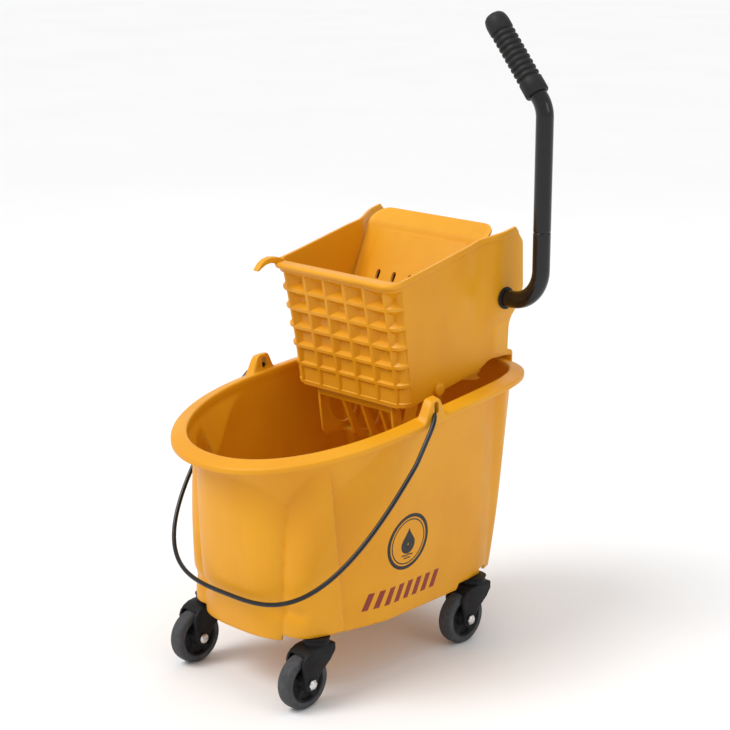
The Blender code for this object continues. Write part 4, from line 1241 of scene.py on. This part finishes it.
def make_handle():
    y, z = SHAFT.y, SHAFT.z
    tip = 0.0012

    def rounded(length):
        """Tube radius with its two cut ends eased."""
        return lambda t: TUBE_R - tip * (0.6 if min(t, 1 - t) * length < 0.0006 else 0.0)

    bend = arc((TUBE_X - ELBOW_R, z + ELBOW_R), ELBOW_R, -90, 0, 40)
    start = half_width(z) + 0.0151
    path = [(start, y, z), (start + 0.0007, y, z), (start + 0.0040, y, z)] + [(px, y, pz) for px, pz in bend]
    path += [(TUBE_X, y, SEAM_Z - 0.0025), (TUBE_X, y, SEAM_Z - 0.0012), (TUBE_X, y, SEAM_Z - 0.0002)]
    lower = tube("elbow_tube", path, rounded(0.17), 48)
    fit(lower, GLOSS, "black_steel", "press_handle", "handle_elbow_tube")

    turn = arc((TUBE_X - BEND_R, BEND_Z), BEND_R, 0, degrees(GRIP_TILT), 24)
    path = [(TUBE_X, y, SEAM_Z + 0.0002), (TUBE_X, y, SEAM_Z + 0.0012), (TUBE_X, y, SEAM_Z + 0.0025)]
    path += [(px, y, pz) for px, pz in turn]
    end = Vector((turn[-1][0], y, turn[-1][1]))
    way = Vector((-sin(GRIP_TILT), 0, cos(GRIP_TILT)))
    path.append(tuple(end + way * 0.11))
    upper = tube("upper_tube", path, rounded(0.28), 48)
    fit(upper, GLOSS, "black_steel", "press_handle", "handle_upper_tube")

    profile = [(TUBE_R + 0.0004, 0.0065), (0.0140, 0.0060), (0.0156, 0.0064), (GRIP_R, 0.0080)]
    profile += [(GRIP_R, 0.0270), (GRIP_R - 0.0006, 0.0282)]
    ribs = 9
    start = 0.030
    pitch = 0.0082
    for i in range(ribs):
        low = start + pitch * i
        profile += [(GRIP_R - 0.0022, low), (GRIP_R - 0.0022, low + 0.0018), (GRIP_R - 0.0005, low + 0.0030)]
        profile += [(GRIP_R - 0.0001, low + 0.0046), (GRIP_R - 0.0005, low + 0.0062)]
    stop = start + pitch * ribs
    profile += [(GRIP_R - 0.0022, stop), (GRIP_R - 0.0022, stop + 0.0014), (GRIP_R - 0.0004, stop + 0.0028)]
    profile += [(GRIP_R, stop + 0.0040), (GRIP_R, GRIP_LEN - 0.0150), (GRIP_R - 0.0006, GRIP_LEN - 0.0100)]
    profile += [(GRIP_R - 0.0022, GRIP_LEN - 0.0050), (GRIP_R - 0.0055, GRIP_LEN - 0.0016)]
    profile += [(0.0080, GRIP_LEN - 0.0004), (0.0030, GRIP_LEN)]
    matrix = Matrix.Translation(end) @ Matrix.Rotation(-GRIP_TILT, 4, "Y")
    grip = turned("rubber_grip", profile, matrix, 72, "fan", None, 50)
    fit(grip, RUBBER, "black_rubber", "press_handle", "handle_grip")


# ------------------------------------------------- pieces kept from the CAD

def dress(names, material, bevel):
    """Finish CAD nodes that keep their shape: a material, and softened edges."""
    for name in names:
        node = frame["nodes"][name]
        node.data.materials.clear()
        node.data.materials.append(material)
        edge = node.modifiers.new("eased_edges", "BEVEL")
        edge.width = bevel
        edge.segments = 2
        edge.limit_method = "ANGLE"
        edge.angle_limit = radians(35)
        edge.harden_normals = True


# ------------------------------------------------------------------ stage

def make_floor():
    """A wide pale floor."""
    corners = [(-FLOOR_REACH, -FLOOR_REACH, 0), (FLOOR_REACH, -FLOOR_REACH, 0)]
    corners += [(FLOOR_REACH, FLOOR_REACH, 0), (-FLOOR_REACH, FLOOR_REACH, 0)]
    floor_mesh = bpy.data.meshes.new("studio_floor")
    floor_mesh.from_pydata(corners, [], [(0, 1, 2, 3)])
    floor = bpy.data.objects.new("studio_floor", floor_mesh)
    bpy.context.scene.collection.objects.link(floor)
    paint = Paint("studio_floor", Roughness=0.9)
    shade = paint.spread(paint.noise(1.5, 2.0), 0.3, 0.7)
    paint.colour(paint.blend(shade, (0.86, 0.86, 0.86), (0.88, 0.88, 0.88)))
    floor.data.materials.append(paint.material)


def make_sky():
    """Even white light from all round."""
    bpy.context.scene.view_settings.view_transform = "Standard"
    world = bpy.data.worlds.new("studio")
    bpy.context.scene.world = world
    world.use_nodes = True
    world.node_tree.nodes["Background"].inputs["Color"].default_value = (1.0, 1.0, 1.0, 1.0)
    world.node_tree.nodes["Background"].inputs["Strength"].default_value = 0.74


def make_lights(target):
    """Square panels round the object, each placed by azimuth, height and distance."""
    for name, azimuth, height, distance, size, power in (
            ("key", -30, 2.7, 1.9, 0.8, 9.0), ("fill", 92, 1.7, 2.6, 1.0, 7.0),
            ("top", 70, 3.0, 0.5, 1.2, 6.0), ("back", 215, 2.2, 2.2, 1.6, 6.0)):
        data = bpy.data.lights.new(name, "AREA")
        data.shape = "SQUARE"
        data.size = size
        data.energy = power
        light = bpy.data.objects.new(name, data)
        turn = radians(azimuth)
        light.location = target + Vector((sin(turn) * distance, -cos(turn) * distance, height - target.z))
        light.rotation_euler = (target - light.location).to_track_quat("-Z", "Y").to_euler()
        bpy.context.scene.collection.objects.link(light)


def make_sun():
    """A broad soft sun from the front left."""
    data = bpy.data.lights.new("sky_panel", "SUN")
    data.energy = 1.45
    data.angle = radians(32.0)
    light = bpy.data.objects.new("sky_panel", data)
    light.rotation_euler = (radians(38.0), 0, radians(-24.0))
    bpy.context.scene.collection.objects.link(light)


def make_camera(target):
    """The camera looks back at the target from the front right, a little above it."""
    data = bpy.data.cameras.new("camera")
    data.sensor_width = 36.0
    data.lens = CAMERA_LENS
    camera = bpy.data.objects.new("camera", data)
    level = cos(CAMERA_ELEVATION)
    back = Vector((sin(CAMERA_AZIMUTH) * level, -cos(CAMERA_AZIMUTH) * level, sin(CAMERA_ELEVATION)))
    camera.location = target + back * CAMERA_DISTANCE
    camera.rotation_euler = (-back).to_track_quat("-Z", "Y").to_euler()
    bpy.context.scene.collection.objects.link(camera)
    bpy.context.scene.camera = camera


# --------------------------------------------------------------- assembly

bucket_piece = make_bucket()
make_sign(bucket_piece)
fit(bucket_piece, YELLOW, "yellow_plastic", "bucket", "bucket_shell")
fit(make_bail(), GLOSS, "black_steel", "bail", "bail_wire")
for corner_name in CASTERS:
    make_caster(corner_name)
make_housing()
make_grate()
make_plate()
make_wringer_hardware()
make_hangers()
make_handle()

dress(["plate_sector_left", "plate_sector_right"], YELLOW, 0.0004)
dress(["drive_gear_left", "drive_gear_right"], BLACK, 0.0004)
dress(["cross_shaft", "shaft_retaining_ring", "plate_hinge_pin", "hinge_pin_clip_left",
       "hinge_pin_clip_right"], ZINC, 0.0003)

middle_of_view = Vector((ORIGIN.x, ORIGIN.y, VIEW_HEIGHT))
make_floor()
make_sky()
make_lights(middle_of_view)
make_sun()
make_camera(middle_of_view)
bpy.context.view_layer.update()
